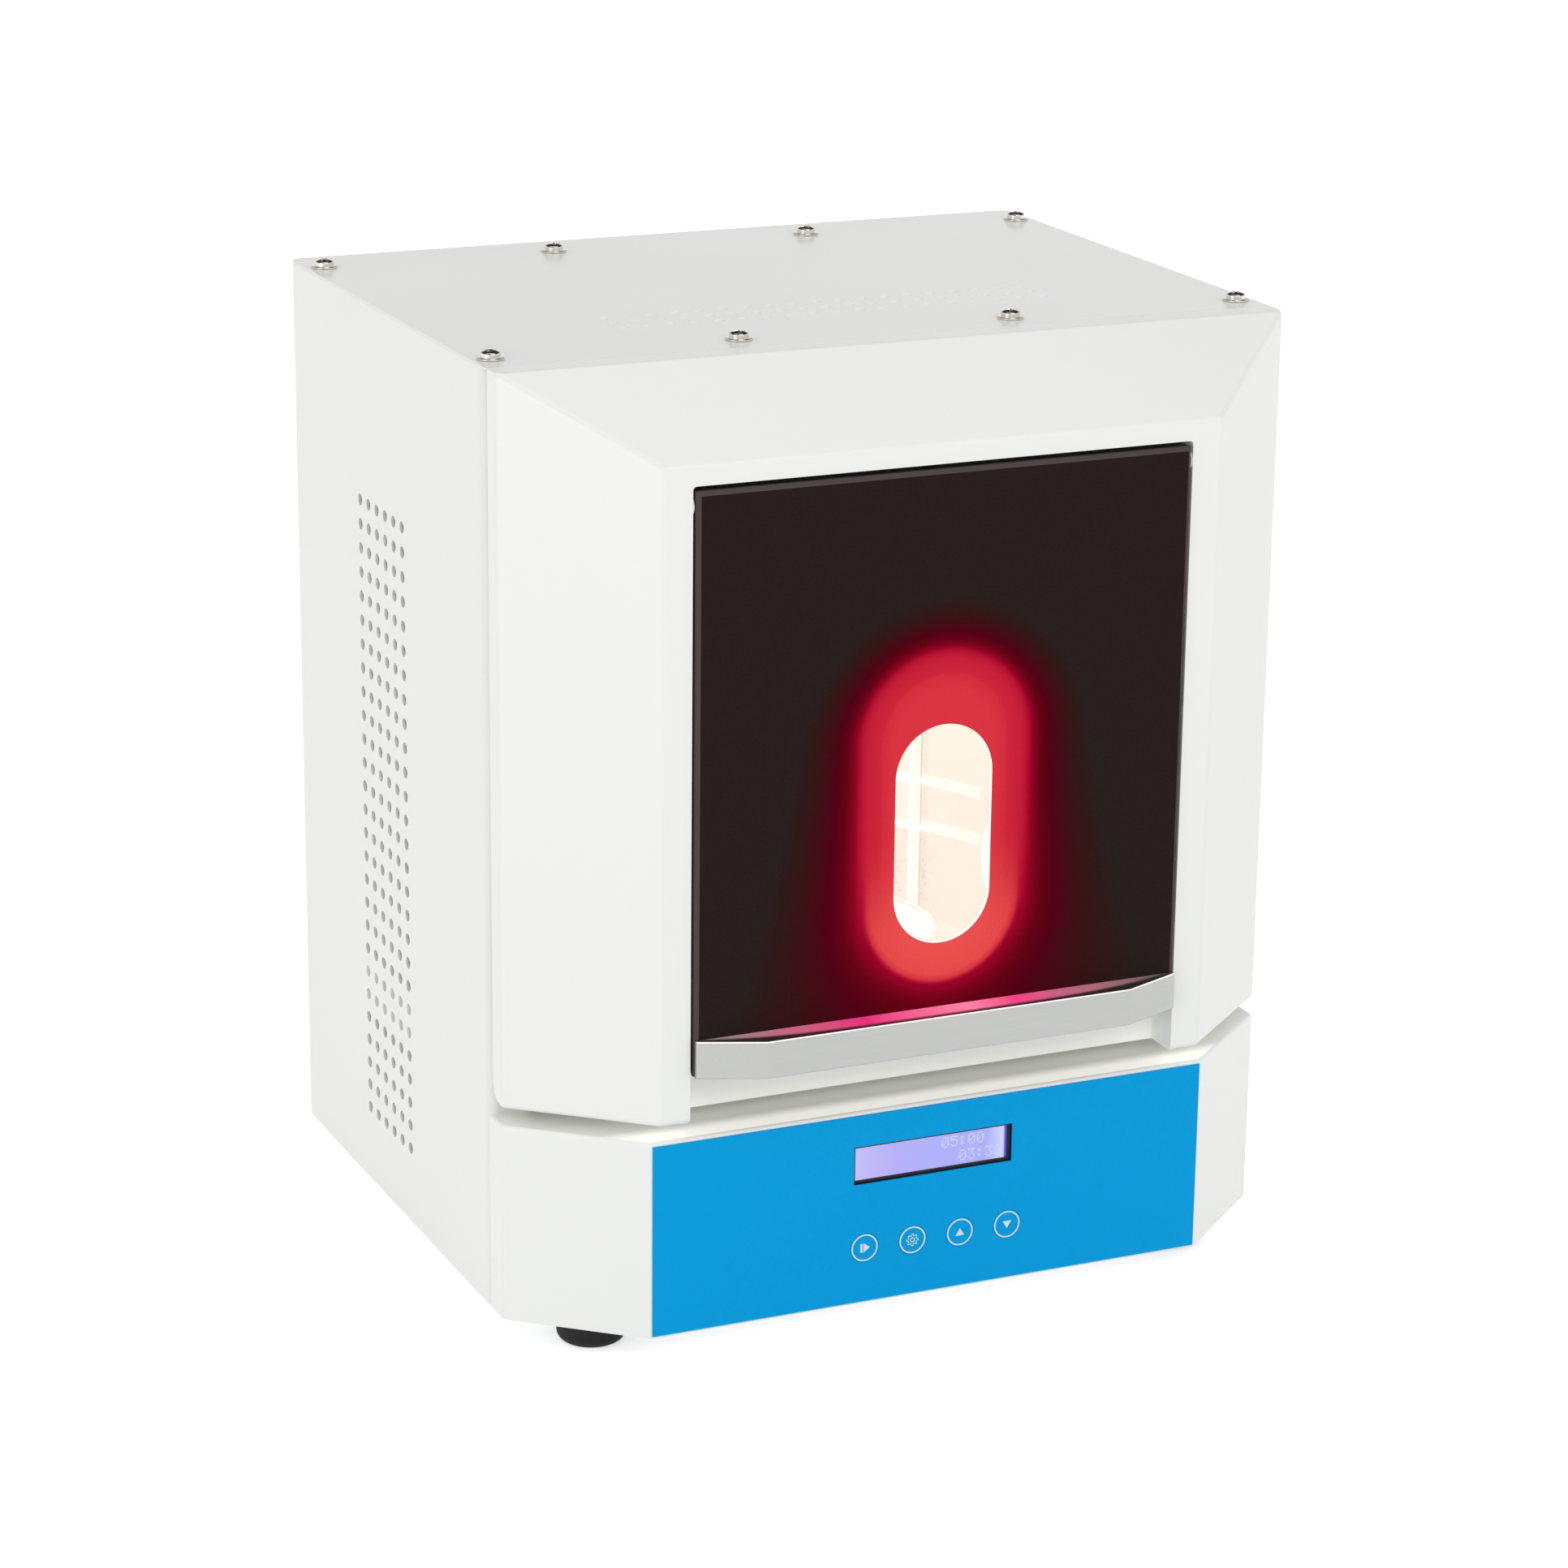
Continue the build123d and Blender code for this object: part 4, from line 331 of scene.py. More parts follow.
FINISH["red_filter"], tree, place, surface = begin("dyed_filter_acrylic")
outside, rise = ring_distance(tree, place)
depth = add(tree, "Math", {0: outside, 1: -FILTER_REACH}, operation="DIVIDE")
upper = add(tree, "ValToRGB", {"Fac": depth}, stops=[(mm / FILTER_REACH, code) for mm, code in UPPER_GLOW])
lower = add(tree, "ValToRGB", {"Fac": depth}, stops=[(mm / FILTER_REACH, code) for mm, code in LOWER_GLOW])
low_down = add(
    tree,
    "MapRange",
    {"Value": rise, "From Min": -4 * MM, "From Max": -52 * MM},
    interpolation_type="SMOOTHSTEP",
)
glow = add(tree, "Mix", {0: low_down, 6: upper, 7: lower}, out=2, data_type="RGBA")
dust = add(tree, "TexNoise", {"Vector": place, "Scale": per_mm(0.9), "Detail": 3.0, "Roughness": 0.65})
flicker = add(tree, "MapRange", {"Value": dust, "To Min": 0.93, "To Max": 1.07})
glow = add(tree, "VectorMath", {0: glow, "Scale": flicker}, operation="SCALE")
bump = add(tree, "Bump", {"Height": dust, "Distance": 5 * MICRON, "Strength": 0.25})
add(
    tree,
    "BsdfPrincipled",
    {
        "Base Color": linear("#1A0004"),
        "Roughness": 0.3,
        "Specular IOR Level": 0.01,
        "Normal": bump,
        "Emission Color": glow,
        "Emission Strength": 1.0,
    },
    to=surface,
)

# %% [markdown]
# ## Clear acrylic of the window
# The window is plain cast acrylic with a trace of haze. Its cut rim is frosted and carries the chamber's
# light, so the faces are clear and the rim glows. Which is which comes from the way the surface faces.

# %% Clear acrylic
RIM_LIGHT = 0.8

FINISH["clear_acrylic"], tree, place, surface = begin("clear_cast_acrylic")
haze = add(tree, "TexNoise", {"Vector": place, "Scale": per_mm(14.0), "Detail": 3.0})
smear = add(tree, "MapRange", {"Value": haze, "From Min": 0.4, "To Max": 0.06})
turned = add(tree, "SeparateXYZ", {"Vector": add(tree, "TexCoord", out="Normal")}, out="Y")
turned = add(tree, "Math", {0: turned}, operation="ABSOLUTE")
rim = add(tree, "MapRange", {"Value": turned, "From Min": 0.99, "From Max": 0.93})
clear = add(tree, "Math", {0: 1.0, 1: rim}, operation="SUBTRACT")
rim_light = add(tree, "Math", {0: rim, 1: RIM_LIGHT}, operation="MULTIPLY")
add(
    tree,
    "BsdfPrincipled",
    {
        "Base Color": linear("#FFFEFD"),
        "Roughness": smear,
        "IOR": 1.49,
        "Transmission Weight": clear,
        "Specular IOR Level": 0.2,
        "Emission Color": linear("#FFF1E2"),
        "Emission Strength": rim_light,
    },
    to=surface,
)

# %% [markdown]
# ## Opal acrylic and the light inside
# Everything that gives light in the chamber is opal acrylic: half-round covers over the bars, two strips
# round the drum and the faces of the side lamps. The emitters behind bars and strips stand in rows, so those
# are brightest along their middle and fade to the tone of the walls at their edges, while the lamps' faces
# are bright all over. The bars stand 52 degrees apart round the drum's axis, so the distance to the next bar
# is a triangle wave of the angle, times the radius. Towards its ends a strip has fewer emitters: there the
# distance counts as larger, so the core narrows and dies out.

# %% Opal acrylic
OPAL_GLOW, EDGE_SHARE = 1.5, 0.55
BAR_STEP = math.radians(52.0)
CORE, CORE_EDGE = 0.5, 1.4
TAPER_START, TAPER = 66.0, 0.16
lens_low, lens_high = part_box("lamp_lenses")
opal_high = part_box("light_diffusers")[1]
AXIS_Y = (lens_low.y + lens_high.y) / 2
HOOP_MID_Z, HOOP_APART = 151.5, 9.5

FINISH["opal_plastic"], tree, place, surface = begin("lit_opal_acrylic")
cloud = add(tree, "TexNoise", {"Vector": place, "Scale": per_mm(9.0), "Detail": 1.0})
spot = add(tree, "SeparateXYZ", {"Vector": place}, out=None)
from_axis = add(tree, "Math", {0: spot.outputs["Y"], 1: AXIS_Y}, operation="SUBTRACT")
angle = add(tree, "Math", {0: spot.outputs["X"], 1: from_axis}, operation="ARCTAN2")
angle = add(tree, "Math", {0: angle, 1: BAR_STEP / 2}, operation="PINGPONG")
off_bar = add(tree, "Math", {0: angle, 1: opal_high.x / MM}, operation="MULTIPLY")
rise = add(tree, "Math", {0: spot.outputs["Z"], 1: 1 / MM, 2: -HOOP_MID_Z}, operation="MULTIPLY_ADD")
rise = add(tree, "Math", {0: rise}, operation="ABSOLUTE")
off_hoop = add(tree, "Math", {0: rise, 1: HOOP_APART}, operation="SUBTRACT")
off_hoop = add(tree, "Math", {0: off_hoop}, operation="ABSOLUTE")
aside = add(tree, "Math", {0: spot.outputs["X"]}, operation="ABSOLUTE")
past = add(tree, "Math", {0: aside, 1: 1 / MM, 2: -TAPER_START}, operation="MULTIPLY_ADD")
past = add(tree, "Math", {0: past, 1: 0.0}, operation="MAXIMUM")
off_hoop = add(tree, "Math", {0: past, 1: TAPER, 2: off_hoop}, operation="MULTIPLY_ADD")
off = add(tree, "Math", {0: off_bar, 1: off_hoop}, operation="MINIMUM")
core = add(tree, "MapRange", {"Value": off, "From Min": CORE_EDGE, "From Max": CORE, "To Min": EDGE_SHARE})
on_lamp = add(tree, "Math", {0: aside, 1: opal_high.x + MARGIN}, operation="GREATER_THAN")
core = add(tree, "Math", {0: core, 1: on_lamp}, operation="MAXIMUM")
colour = add(tree, "Mix", {0: cloud, 6: linear("#FFF6E4"), 7: linear("#FFFBF0")}, out=2, data_type="RGBA")
glow = add(tree, "VectorMath", {0: colour, "Scale": core}, operation="SCALE")
add(
    tree,
    "BsdfPrincipled",
    {
        "Base Color": linear("#8A8680"),
        "Roughness": 0.3,
        "Emission Color": glow,
        "Emission Strength": OPAL_GLOW,
    },
    to=surface,
)

# %% [markdown]
# ## Phosphor of the emitters
# An emitter is a chip that gives blue light under a drop of silicone with yellow phosphor in it. Lit, it is
# the brightest thing in the unit, and its warm white has a fine crumb.

# %% Lit phosphor
LED_GLOW = 2.5

FINISH["led_phosphor"], tree, place, surface = begin("lit_phosphor_in_silicone")
crumb = add(tree, "TexNoise", {"Vector": place, "Scale": per_mm(0.4), "Detail": 1.0})
colour = add(tree, "Mix", {0: crumb, 6: linear("#FFE9B8"), 7: linear("#FFF3D6")}, out=2, data_type="RGBA")
add(
    tree,
    "BsdfPrincipled",
    {
        "Base Color": linear("#F2D36A"),
        "Roughness": 0.25,
        "Emission Color": colour,
        "Emission Strength": LED_GLOW,
    },
    to=surface,
)

# %% [markdown]
# ## Mirror-bright aluminium
# The chamber is lined with rolled aluminium that is anodised over a mirror polish. Rolling leaves faint
# upright lines, and the gloss varies in broad patches. With the lamps on, the warm light that goes round and
# round between the walls is more than a few bounces can carry, so most of what the sheet sends out is drawn
# as its own glow, with a soft share of reflection over it. Low down on the upright walls this painted glow
# turns pink in speckled patches. The turntable disc has the same finish and, close under the top lamp, sends
# out more. A face whose back is turned to the chamber's middle by more than BACK_AWAY, such as the outside
# of the drum, gives no glow.

# %% Mirror sheet
STRAY_LIGHT, DISC_LIGHT = 0.72, 0.95
disc_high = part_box("turntable_disc")[1]
drum_low, drum_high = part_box("reflector")
CHAMBER_MIDDLE = (0.0, AXIS_Y, (drum_low.z + drum_high.z) / 2)
BACK_AWAY = 70 * MM
LINE_STRETCH = (1.0, 1.0, 0.02)
DISC_T = 1.5 * MM
WARM_LOW, WARM_HIGH = 160 * MM, 210 * MM
PINK_LOW, PINK_HIGH = 132 * MM, 152 * MM
PINK_IN, PINK_OUT = 66 * MM, 71 * MM

FINISH["mirror_sheet"], tree, place, surface = begin("mirror_polished_aluminium")
upright = add(tree, "Mapping", {"Vector": place, "Scale": LINE_STRETCH})
rolled = add(tree, "TexNoise", {"Vector": upright, "Scale": per_mm(1.2), "Detail": 3.0})
dull = add(tree, "TexNoise", {"Vector": place, "Scale": per_mm(40.0), "Detail": 1.0})
polish = add(tree, "MapRange", {"Value": dull, "To Min": 0.24, "To Max": 0.4})
bump = add(tree, "Bump", {"Height": rolled, "Distance": 2 * MICRON, "Strength": 0.3})
height = add(tree, "SeparateXYZ", {"Vector": place}, out="Z")
upper = add(tree, "MapRange", {"Value": height, "From Min": WARM_LOW, "From Max": WARM_HIGH})
warm = add(tree, "Mix", {0: upper, 6: linear("#FFF0E2"), 7: linear("#FFFAE6")}, out=2, data_type="RGBA")
# Low down on the upright walls the painted glow turns pink in speckled patches.
speckle = add(tree, "TexNoise", {"Vector": place, "Scale": per_mm(2.5), "Detail": 6.0, "Roughness": 0.75})
pink_speckle = add(tree, "MapRange", {"Value": speckle, "From Min": 0.52, "From Max": 0.6, "To Max": 0.42})
reached = add(tree, "MapRange", {"Value": height, "From Min": PINK_HIGH, "From Max": PINK_LOW})
aside = add(tree, "SeparateXYZ", {"Vector": place}, out="X")
aside = add(tree, "Math", {0: aside}, operation="ABSOLUTE")
inner = add(tree, "MapRange", {"Value": aside, "From Min": PINK_OUT, "From Max": PINK_IN})
facing = add(tree, "SeparateXYZ", {"Vector": add(tree, "TexCoord", out="Normal")}, out="Z")
upright_wall = add(tree, "Math", {0: facing, 1: 0.5}, operation="LESS_THAN")
marks = add(tree, "Math", {0: pink_speckle, 1: reached}, operation="MULTIPLY")
for mask in (inner, upright_wall):
    marks = add(tree, "Math", {0: marks, 1: mask}, operation="MULTIPLY")
off_floor = add(tree, "Math", {0: height, 1: disc_high.z - DISC_T}, operation="GREATER_THAN")
on_disc = add(tree, "Math", {0: facing, 1: off_floor}, operation="MULTIPLY")
on_disc = add(tree, "MapRange", {"Value": on_disc, "From Min": 0.2, "From Max": 0.8})
stray = add(tree, "MapRange", {"Value": on_disc, "To Min": STRAY_LIGHT, "To Max": DISC_LIGHT})
to_middle = add(tree, "VectorMath", {0: CHAMBER_MIDDLE, 1: place}, operation="SUBTRACT")
normal = add(tree, "TexCoord", out="Normal")
inward = add(tree, "VectorMath", {0: normal, 1: to_middle}, out="Value", operation="DOT_PRODUCT")
lit_side = add(tree, "Math", {0: inward, 1: -BACK_AWAY}, operation="GREATER_THAN")
stray = add(tree, "Math", {0: stray, 1: lit_side}, operation="MULTIPLY")
glow = add(tree, "Mix", {0: marks, 6: warm, 7: linear("#E09A92")}, out=2, data_type="RGBA")
add(
    tree,
    "BsdfPrincipled",
    {
        "Base Color": linear("#8E8B87"),
        "Metallic": 1.0,
        "Roughness": polish,
        "Normal": bump,
        "Emission Color": glow,
        "Emission Strength": stray,
    },
    to=surface,
)

# %% [markdown]
# ## Satin aluminium of the grip
# The grip is an extrusion, brushed along its length and clear anodised. The brush leaves lines a few tenths
# of a millimetre apart and tens of millimetres long, which smear reflections up and down but not along. Its
# top catches the light that leaves the sheet's lower edge: a pink streak, widest under the filter, that
# narrows to nothing at both ends. Across, the streak ends where ahead / width + |x / half| ** 4 reaches one.
# A thin white line along the rounded upper arris is a painted highlight.

# %% Satin aluminium
grip_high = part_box("door_handle")[1]
GRIP_HALF = grip_high.x
STREAK_WIDE = 9.6 * MM
BRUSH_STRETCH = (0.012, 1.0, 1.0)
STREAK = (
    (0.05, "#8A7A7A"),
    (0.17, "#BE647F"),
    (0.34, "#E12878"),
    (0.5, "#F0739B"),
    (0.55, "#F682A5"),
    (0.65, "#F03C82"),
    (0.74, "#BE5F82"),
    (0.86, "#966469"),
    (0.95, "#6A5658"),
)

FINISH["satin_aluminium"], tree, place, surface = begin("brushed_anodised_aluminium")
along = add(tree, "Mapping", {"Vector": place, "Scale": BRUSH_STRETCH})
lines = add(tree, "TexNoise", {"Vector": along, "Scale": per_mm(0.45), "Detail": 4.0})
sparkle = add(tree, "TexNoise", {"Vector": place, "Scale": per_mm(0.5), "Detail": 2.0})
rub = add(tree, "Mix", {0: lines, 6: linear("#AFB0AE"), 7: linear("#B8B9B7")}, out=2, data_type="RGBA")
satin = add(tree, "MapRange", {"Value": sparkle, "To Min": 0.28, "To Max": 0.42})
bump = add(tree, "Bump", {"Height": lines, "Distance": 8 * MICRON, "Strength": 0.4})
split = add(tree, "SeparateXYZ", {"Vector": place}, out=None)
run = add(
    tree, "MapRange", {"Value": split.outputs["X"], "From Min": -GRIP_HALF, "From Max": GRIP_HALF}
)
streak = add(tree, "ValToRGB", {"Fac": run}, stops=STREAK)
ahead = add(
    tree,
    "MapRange",
    {"Value": split.outputs["Y"], "From Min": grip_high.y, "From Max": grip_high.y - STREAK_WIDE},
    clamp=False,
)
side = add(tree, "Math", {0: split.outputs["X"], 1: 1 / GRIP_HALF}, operation="MULTIPLY")
side = add(tree, "Math", {0: side}, operation="ABSOLUTE")
taper = add(tree, "Math", {0: side, 1: 4.0}, operation="POWER")
reach = add(tree, "Math", {0: ahead, 1: taper})
inside = add(
    tree,
    "MapRange",
    {"Value": reach, "From Min": 1.0, "From Max": 0.7},
    interpolation_type="SMOOTHSTEP",
)
tilt = add(tree, "SeparateXYZ", {"Vector": add(tree, "TexCoord", out="Normal")}, out="Z")
level = add(tree, "MapRange", {"Value": tilt, "From Min": 0.97, "From Max": 0.99})
mask = add(tree, "Math", {0: inside, 1: level}, operation="MULTIPLY")
streak = add(tree, "VectorMath", {0: streak, "Scale": mask}, operation="SCALE")
# Painted highlight: a thin white glow along the rounded upper arris.
leaning = add(tree, "MapRange", {"Value": tilt, "From Min": 0.25, "From Max": 0.5})
not_level = add(tree, "Math", {0: 1.0, 1: level}, operation="SUBTRACT")
painted_arris_highlight = add(tree, "Math", {0: leaning, 1: not_level}, operation="MULTIPLY")
glint = add(tree, "VectorMath", {0: linear("#F4F2EC")[:3], "Scale": painted_arris_highlight}, operation="SCALE")
streak = add(tree, "VectorMath", {0: streak, 1: glint}, operation="ADD")
add(
    tree,
    "BsdfPrincipled",
    {
        "Base Color": rub,
        "Metallic": 1.0,
        "Roughness": satin,
        "Normal": bump,
        "Emission Color": streak,
        "Emission Strength": 1.0,
    },
    to=surface,
)

# %% [markdown]
# ## Plated and turned metals
# Screws and washers are nickel-plated: warm white metal, nearly a mirror, with fine tumbling marks from the
# barrel that they were plated in. Ground steel, brass and the motor's drawn can follow the same recipe with
# their own colour and gloss, so one function makes them.

# %% Small metal parts
def small_metal(name, dark, light, polish, mark_mm):
    """Metal whose tone and gloss vary with fine marks of the given size."""
    material, tree, place, surface = begin(name)
    marks = add(
        tree, "TexNoise", {"Vector": place, "Scale": per_mm(mark_mm), "Detail": 4.0, "Roughness": 0.7}
    )
    tone = add(tree, "Mix", {0: marks, 6: linear(dark), 7: linear(light)}, out=2, data_type="RGBA")
    gloss = add(tree, "MapRange", {"Value": marks, "To Min": polish * 0.6, "To Max": polish * 1.6})
    bump = add(tree, "Bump", {"Height": marks, "Distance": 3 * MICRON, "Strength": 0.3})
    add(
        tree,
        "BsdfPrincipled",
        {"Base Color": tone, "Metallic": 1.0, "Roughness": gloss, "Normal": bump},
        to=surface,
    )
    return material


FINISH["nickel_plate"] = small_metal("barrel_nickel_plate", "#D2CDC5", "#E2DDD6", 0.07, 0.7)
FINISH["bright_steel"] = small_metal("ground_steel", "#B9B8B5", "#C9C8C6", 0.22, 0.4)
FINISH["motor_case"] = small_metal("drawn_steel_can", "#A9A7A2", "#BAB8B3", 0.35, 1.5)
FINISH["brass_turned"] = small_metal("turned_brass", "#C29B52", "#D4B06A", 0.25, 0.5)

# %% [markdown]
# ## Zinc, black anodising and the inner plastics
# Inside sheets are zinc-plated, where crystals show as faint patches of lighter and darker grey. Heat sinks
# and lamp bodies are black anodised. Moulded blacks come from a spark-eroded tool and so are finely pitted,
# and rubber is duller still. One function covers these because only grain, tone and depth differ.

# %% Zinc sheet
FINISH["zinc_sheet"], tree, place, surface = begin("bright_zinc_plate")
patch = add(tree, "TexVoronoi", {"Vector": place, "Scale": per_mm(5.0)}, out="Color")
grey = add(tree, "RGBToBW", {"Color": patch})
tone = add(tree, "Mix", {0: grey, 6: linear("#B4B8BC"), 7: linear("#CDD0D2")}, out=2, data_type="RGBA")
polish = add(tree, "MapRange", {"Value": grey, "To Min": 0.22, "To Max": 0.38})
add(tree, "BsdfPrincipled", {"Base Color": tone, "Metallic": 1.0, "Roughness": polish}, to=surface)


# %% Grained solids
def grained(name, dark, light, gloss, grain_mm, depth, metallic=0.0, specular=0.5):
    """Material with an even grain: its tone runs between two codes and its height is depth in microns."""
    material, tree, place, surface = begin(name)
    grain = add(
        tree, "TexNoise", {"Vector": place, "Scale": per_mm(grain_mm), "Detail": 3.0, "Roughness": 0.6}
    )
    tone = add(tree, "Mix", {0: grain, 6: linear(dark), 7: linear(light)}, out=2, data_type="RGBA")
    bump = add(tree, "Bump", {"Height": grain, "Distance": depth * MICRON, "Strength": 0.6})
    add(
        tree,
        "BsdfPrincipled",
        {
            "Base Color": tone,
            "Metallic": metallic,
            "Roughness": gloss,
            "Specular IOR Level": specular,
            "Normal": bump,
        },
        to=surface,
    )
    return material


FINISH["black_moulding"] = grained("spark_eroded_black_plastic", "#0E0E10", "#18181A", 0.5, 0.5, 20)
FINISH["liner_moulding"] = grained("moulded_black_abs", "#17141A", "#1E1A1C", 0.38, 0.6, 12)
FINISH["black_rubber"] = grained("moulded_rubber", "#101010", "#1B1B1B", 0.7, 0.8, 30, specular=0.35)
FINISH["silicone"] = grained("extruded_silicone", "#8A8C8E", "#98999B", 0.55, 1.0, 10)
FINISH["acetal"] = grained("moulded_acetal", "#DEDDD5", "#E8E7DF", 0.4, 1.2, 8)
FINISH["black_aluminium"] = grained(
    "black_anodised_extrusion", "#17171A", "#222226", 0.42, 0.4, 10, metallic=0.6
)
FINISH["supply_case"] = grained("grey_polycarbonate_case", "#94999B", "#A0A4A6", 0.5, 0.7, 15)
FINISH["led_board"] = grained("white_solder_mask", "#EDEBE4", "#F6F5F0", 0.35, 1.5, 6)

# %% [markdown]
# ## Circuit boards and flat cable
# A circuit board is green lacquer over copper tracks that run in straight lines. A brick pattern of very
# long, thin bricks gives such tracks. The flat cable is ribbed where one wire lies next to another.

# %% Boards and cable
TRACK = 1.27

FINISH["circuit_board"], tree, place, surface = begin("green_solder_mask")
along = add(tree, "Mapping", {"Vector": place, "Scale": (0.2, 1.0, 1.0)})
tracks = add(
    tree,
    "TexBrick",
    {
        "Vector": along,
        "Color1": linear("#0C4A26"),
        "Color2": linear("#0E5A2E"),
        "Mortar": linear("#1C7A44"),
        "Scale": per_mm(TRACK),
        "Mortar Size": 0.2,
    },
    out="Color",
)
add(tree, "BsdfPrincipled", {"Base Color": tracks, "Roughness": 0.35}, to=surface)

FINISH["grey_ribbon"], tree, place, surface = begin("ribbed_flat_cable")
ribs = add(tree, "TexWave", {"Vector": place, "Scale": per_mm(TRACK) / (2 * math.pi)}, bands_direction="X")
tone = add(tree, "Mix", {0: ribs, 6: linear("#8E9093"), 7: linear("#B2B4B6")}, out=2, data_type="RGBA")
bump = add(tree, "Bump", {"Height": ribs, "Distance": 300 * MICRON, "Strength": 0.6})
add(tree, "BsdfPrincipled", {"Base Color": tone, "Roughness": 0.5, "Normal": bump}, to=surface)

# %% [markdown]
# ## The lit display
# A character display is a sandwich of glass over a lilac backlight. The light is not even: it is paler near
# the middle and falls to violet at the right-hand edge. Unused dots show as a very faint mesh.

# %% Display glass
glass_low, glass_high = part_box("display_glass")
DOT_PITCH = 0.6
DOT_SHOW = 0.05
BACKLIGHT = ((0.0, "#3B2FB4"), (0.9, "#6A5FD8"), (1.6, "#D2DAFC"), (5.0, "#C2C6FC"), (9.0, "#AEB2FC"),
             (30.0, "#B1B4FE"), (46.0, "#B9B2FB"), (62.0, "#C4C2FB"), (64.0, "#E4E6FF"))

FINISH["lit_display"], tree, place, surface = begin("backlit_display_glass")
split = add(tree, "SeparateXYZ", {"Vector": place}, out=None)
glass_wide = (glass_high.x - glass_low.x) / MM
from_right = add(
    tree, "MapRange", {"Value": split.outputs["X"], "From Min": glass_high.x, "From Max": glass_low.x}
)
glow = add(tree, "ValToRGB", {"Fac": from_right}, stops=[(mm / glass_wide, code) for mm, code in BACKLIGHT])
dots = {"Vector": place, "Scale": per_mm(DOT_PITCH) / (2 * math.pi)}
columns = add(tree, "TexWave", dots, bands_direction="X")
rows_of_dots = add(tree, "TexWave", dots, bands_direction="Z")
mesh = add(tree, "Math", {0: columns, 1: rows_of_dots}, operation="MULTIPLY")
mesh = add(tree, "Math", {0: mesh, 1: DOT_SHOW}, operation="MULTIPLY")
lit = add(tree, "Mix", {0: mesh, 6: glow, 7: linear("#8F8BE4")}, out=2, data_type="RGBA")
add(
    tree,
    "BsdfPrincipled",
    {
        "Base Color": linear("#08060E"),
        "Roughness": 0.15,
        "Specular IOR Level": 0.1,
        "Emission Color": lit,
        "Emission Strength": 0.97,
    },
    to=surface,
)

# %% Put the finishes on the CAD nodes
slot_of = {part["node"]: part["material_slot"] for part in frame["record"]["subparts"]}
for name, node in frame["nodes"].items():
    for place_for_material in node.material_slots:
        place_for_material.material = FINISH[slot_of[name]]
print("finishes:", len(FINISH), "on", len(slot_of), "nodes")

# %% [markdown]
# ## Skins: every new piece from one idea
# A wire, a washer, a print and a folded sheet are all the same thing: a closed outline carried from station
# to station. The points of all stations make one array, and the faces follow from its shape. Stations may
# close on themselves, as round a ring, or end in a cap.

# %% From arrays to a piece
def skin(stations, ring=False):
    """Points and faces of a closed outline carried through stations, an array of (station, point, xyz).

    Face (i, j) joins points j and j + 1 of stations i and i + 1. The last station joins the first for a
    ring; otherwise both ends get a cap of the whole outline.
    """
    count, around = stations.shape[:2]
    index = np.arange(count * around).reshape(count, around)
    onward = np.roll(index, -1, axis=0) if ring else index[1:]
    start = index if ring else index[:-1]
    quads = np.stack([start, np.roll(start, -1, axis=1), np.roll(onward, -1, axis=1), onward], axis=-1)
    faces = quads.reshape(-1, 4).tolist()
    if not ring:
        faces += [index[0].tolist(), index[-1][::-1].tolist()]
    return stations.reshape(-1, 3), faces


def piece(name, skins, body, slot, finish=None, smooth=math.radians(35)):
    """One object from several skins, in millimetres, on a body; its finish is its slot's unless named."""
    points, faces, base = [], [], 0
    for part_points, part_faces in skins:
        points.append(part_points)
        faces += [[base + i for i in face] for face in part_faces]
        base += len(part_points)
    mesh = bpy.data.meshes.new(name)
    mesh.from_pydata((np.concatenate(points) * MM).tolist(), [], faces)
    tidy = bmesh.new()
    tidy.from_mesh(mesh)
    bmesh.ops.remove_doubles(tidy, verts=tidy.verts, dist=1e-7)
    bmesh.ops.recalc_face_normals(tidy, faces=tidy.faces)
    tidy.to_mesh(mesh)
    tidy.free()
    mesh.shade_smooth()
    mesh.set_sharp_from_angle(angle=smooth)
    mesh.materials.append(FINISH[finish or slot])
    made = bpy.data.objects.new(name, mesh)
    bpy.context.collection.objects.link(made)
    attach(made, body)
    print("%s: %d points, %d faces" % (name, len(mesh.vertices), len(mesh.polygons)))
    return made


def lathe(profile, turns, centre):
    """Ring of stations: profile points (r, z) turned about the upright line through centre."""
    angle = np.linspace(0, 2 * np.pi, turns, endpoint=False)
    r, z = profile[:, 0], profile[:, 1]
    x = centre[0] + np.outer(np.cos(angle), r)
    y = centre[1] + np.outer(np.sin(angle), r)
    return np.stack([x, y, np.broadcast_to(centre[2] + z, x.shape)], axis=-1)


# %% [markdown]
# ## Cover screws
# A pan head is a flat-sided disc that rolls over into a dome. The driver's cross is a pit: its plan is two
# crossed slots, and its floor rises towards the ends of the arms. Both are heights over the same polar grid,
# so the head is one surface z(r, angle). A washer with rounded rims lies under it.

# %% Pan head with a cross pit
screw_low, screw_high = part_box("cover_screws")
washer_low, washer_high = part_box("cover_washers")
HEAD_R, HEAD_H = 3.6, 2.6
WASHER_R, WASHER_HOLE_R = 5.0, 2.1
COVER_MID_X = 54.0
CROSS_HALF, CROSS_REACH, CROSS_DEPTH = 0.48, 2.15, 1.5
SCREW_TURNS = 64


def smooth_step(value, low, high):
    """Cubic 3t^2 - 2t^3 of the share t of the way from low to high, held at 0 and 1 outside."""
    t = np.clip((value - low) / (high - low), 0, 1)
    return t * t * (3 - 2 * t)


def head_height(x, y):
    """Dome H(1 - 0.34 (r/R)^2) less the cross pit, whose walls lean over a quarter of a millimetre."""
    r = np.hypot(x, y)
    dome = HEAD_H * (1 - 0.34 * (r / HEAD_R) ** 2)
    inside = np.maximum(np.minimum(abs(x), abs(y)) - CROSS_HALF, np.maximum(abs(x), abs(y)) - CROSS_REACH)
    depth = CROSS_DEPTH * (1 - 0.55 * r / CROSS_REACH)
    return dome - np.maximum(depth, 0) * smooth_step(-inside, -0.05, 0.2)


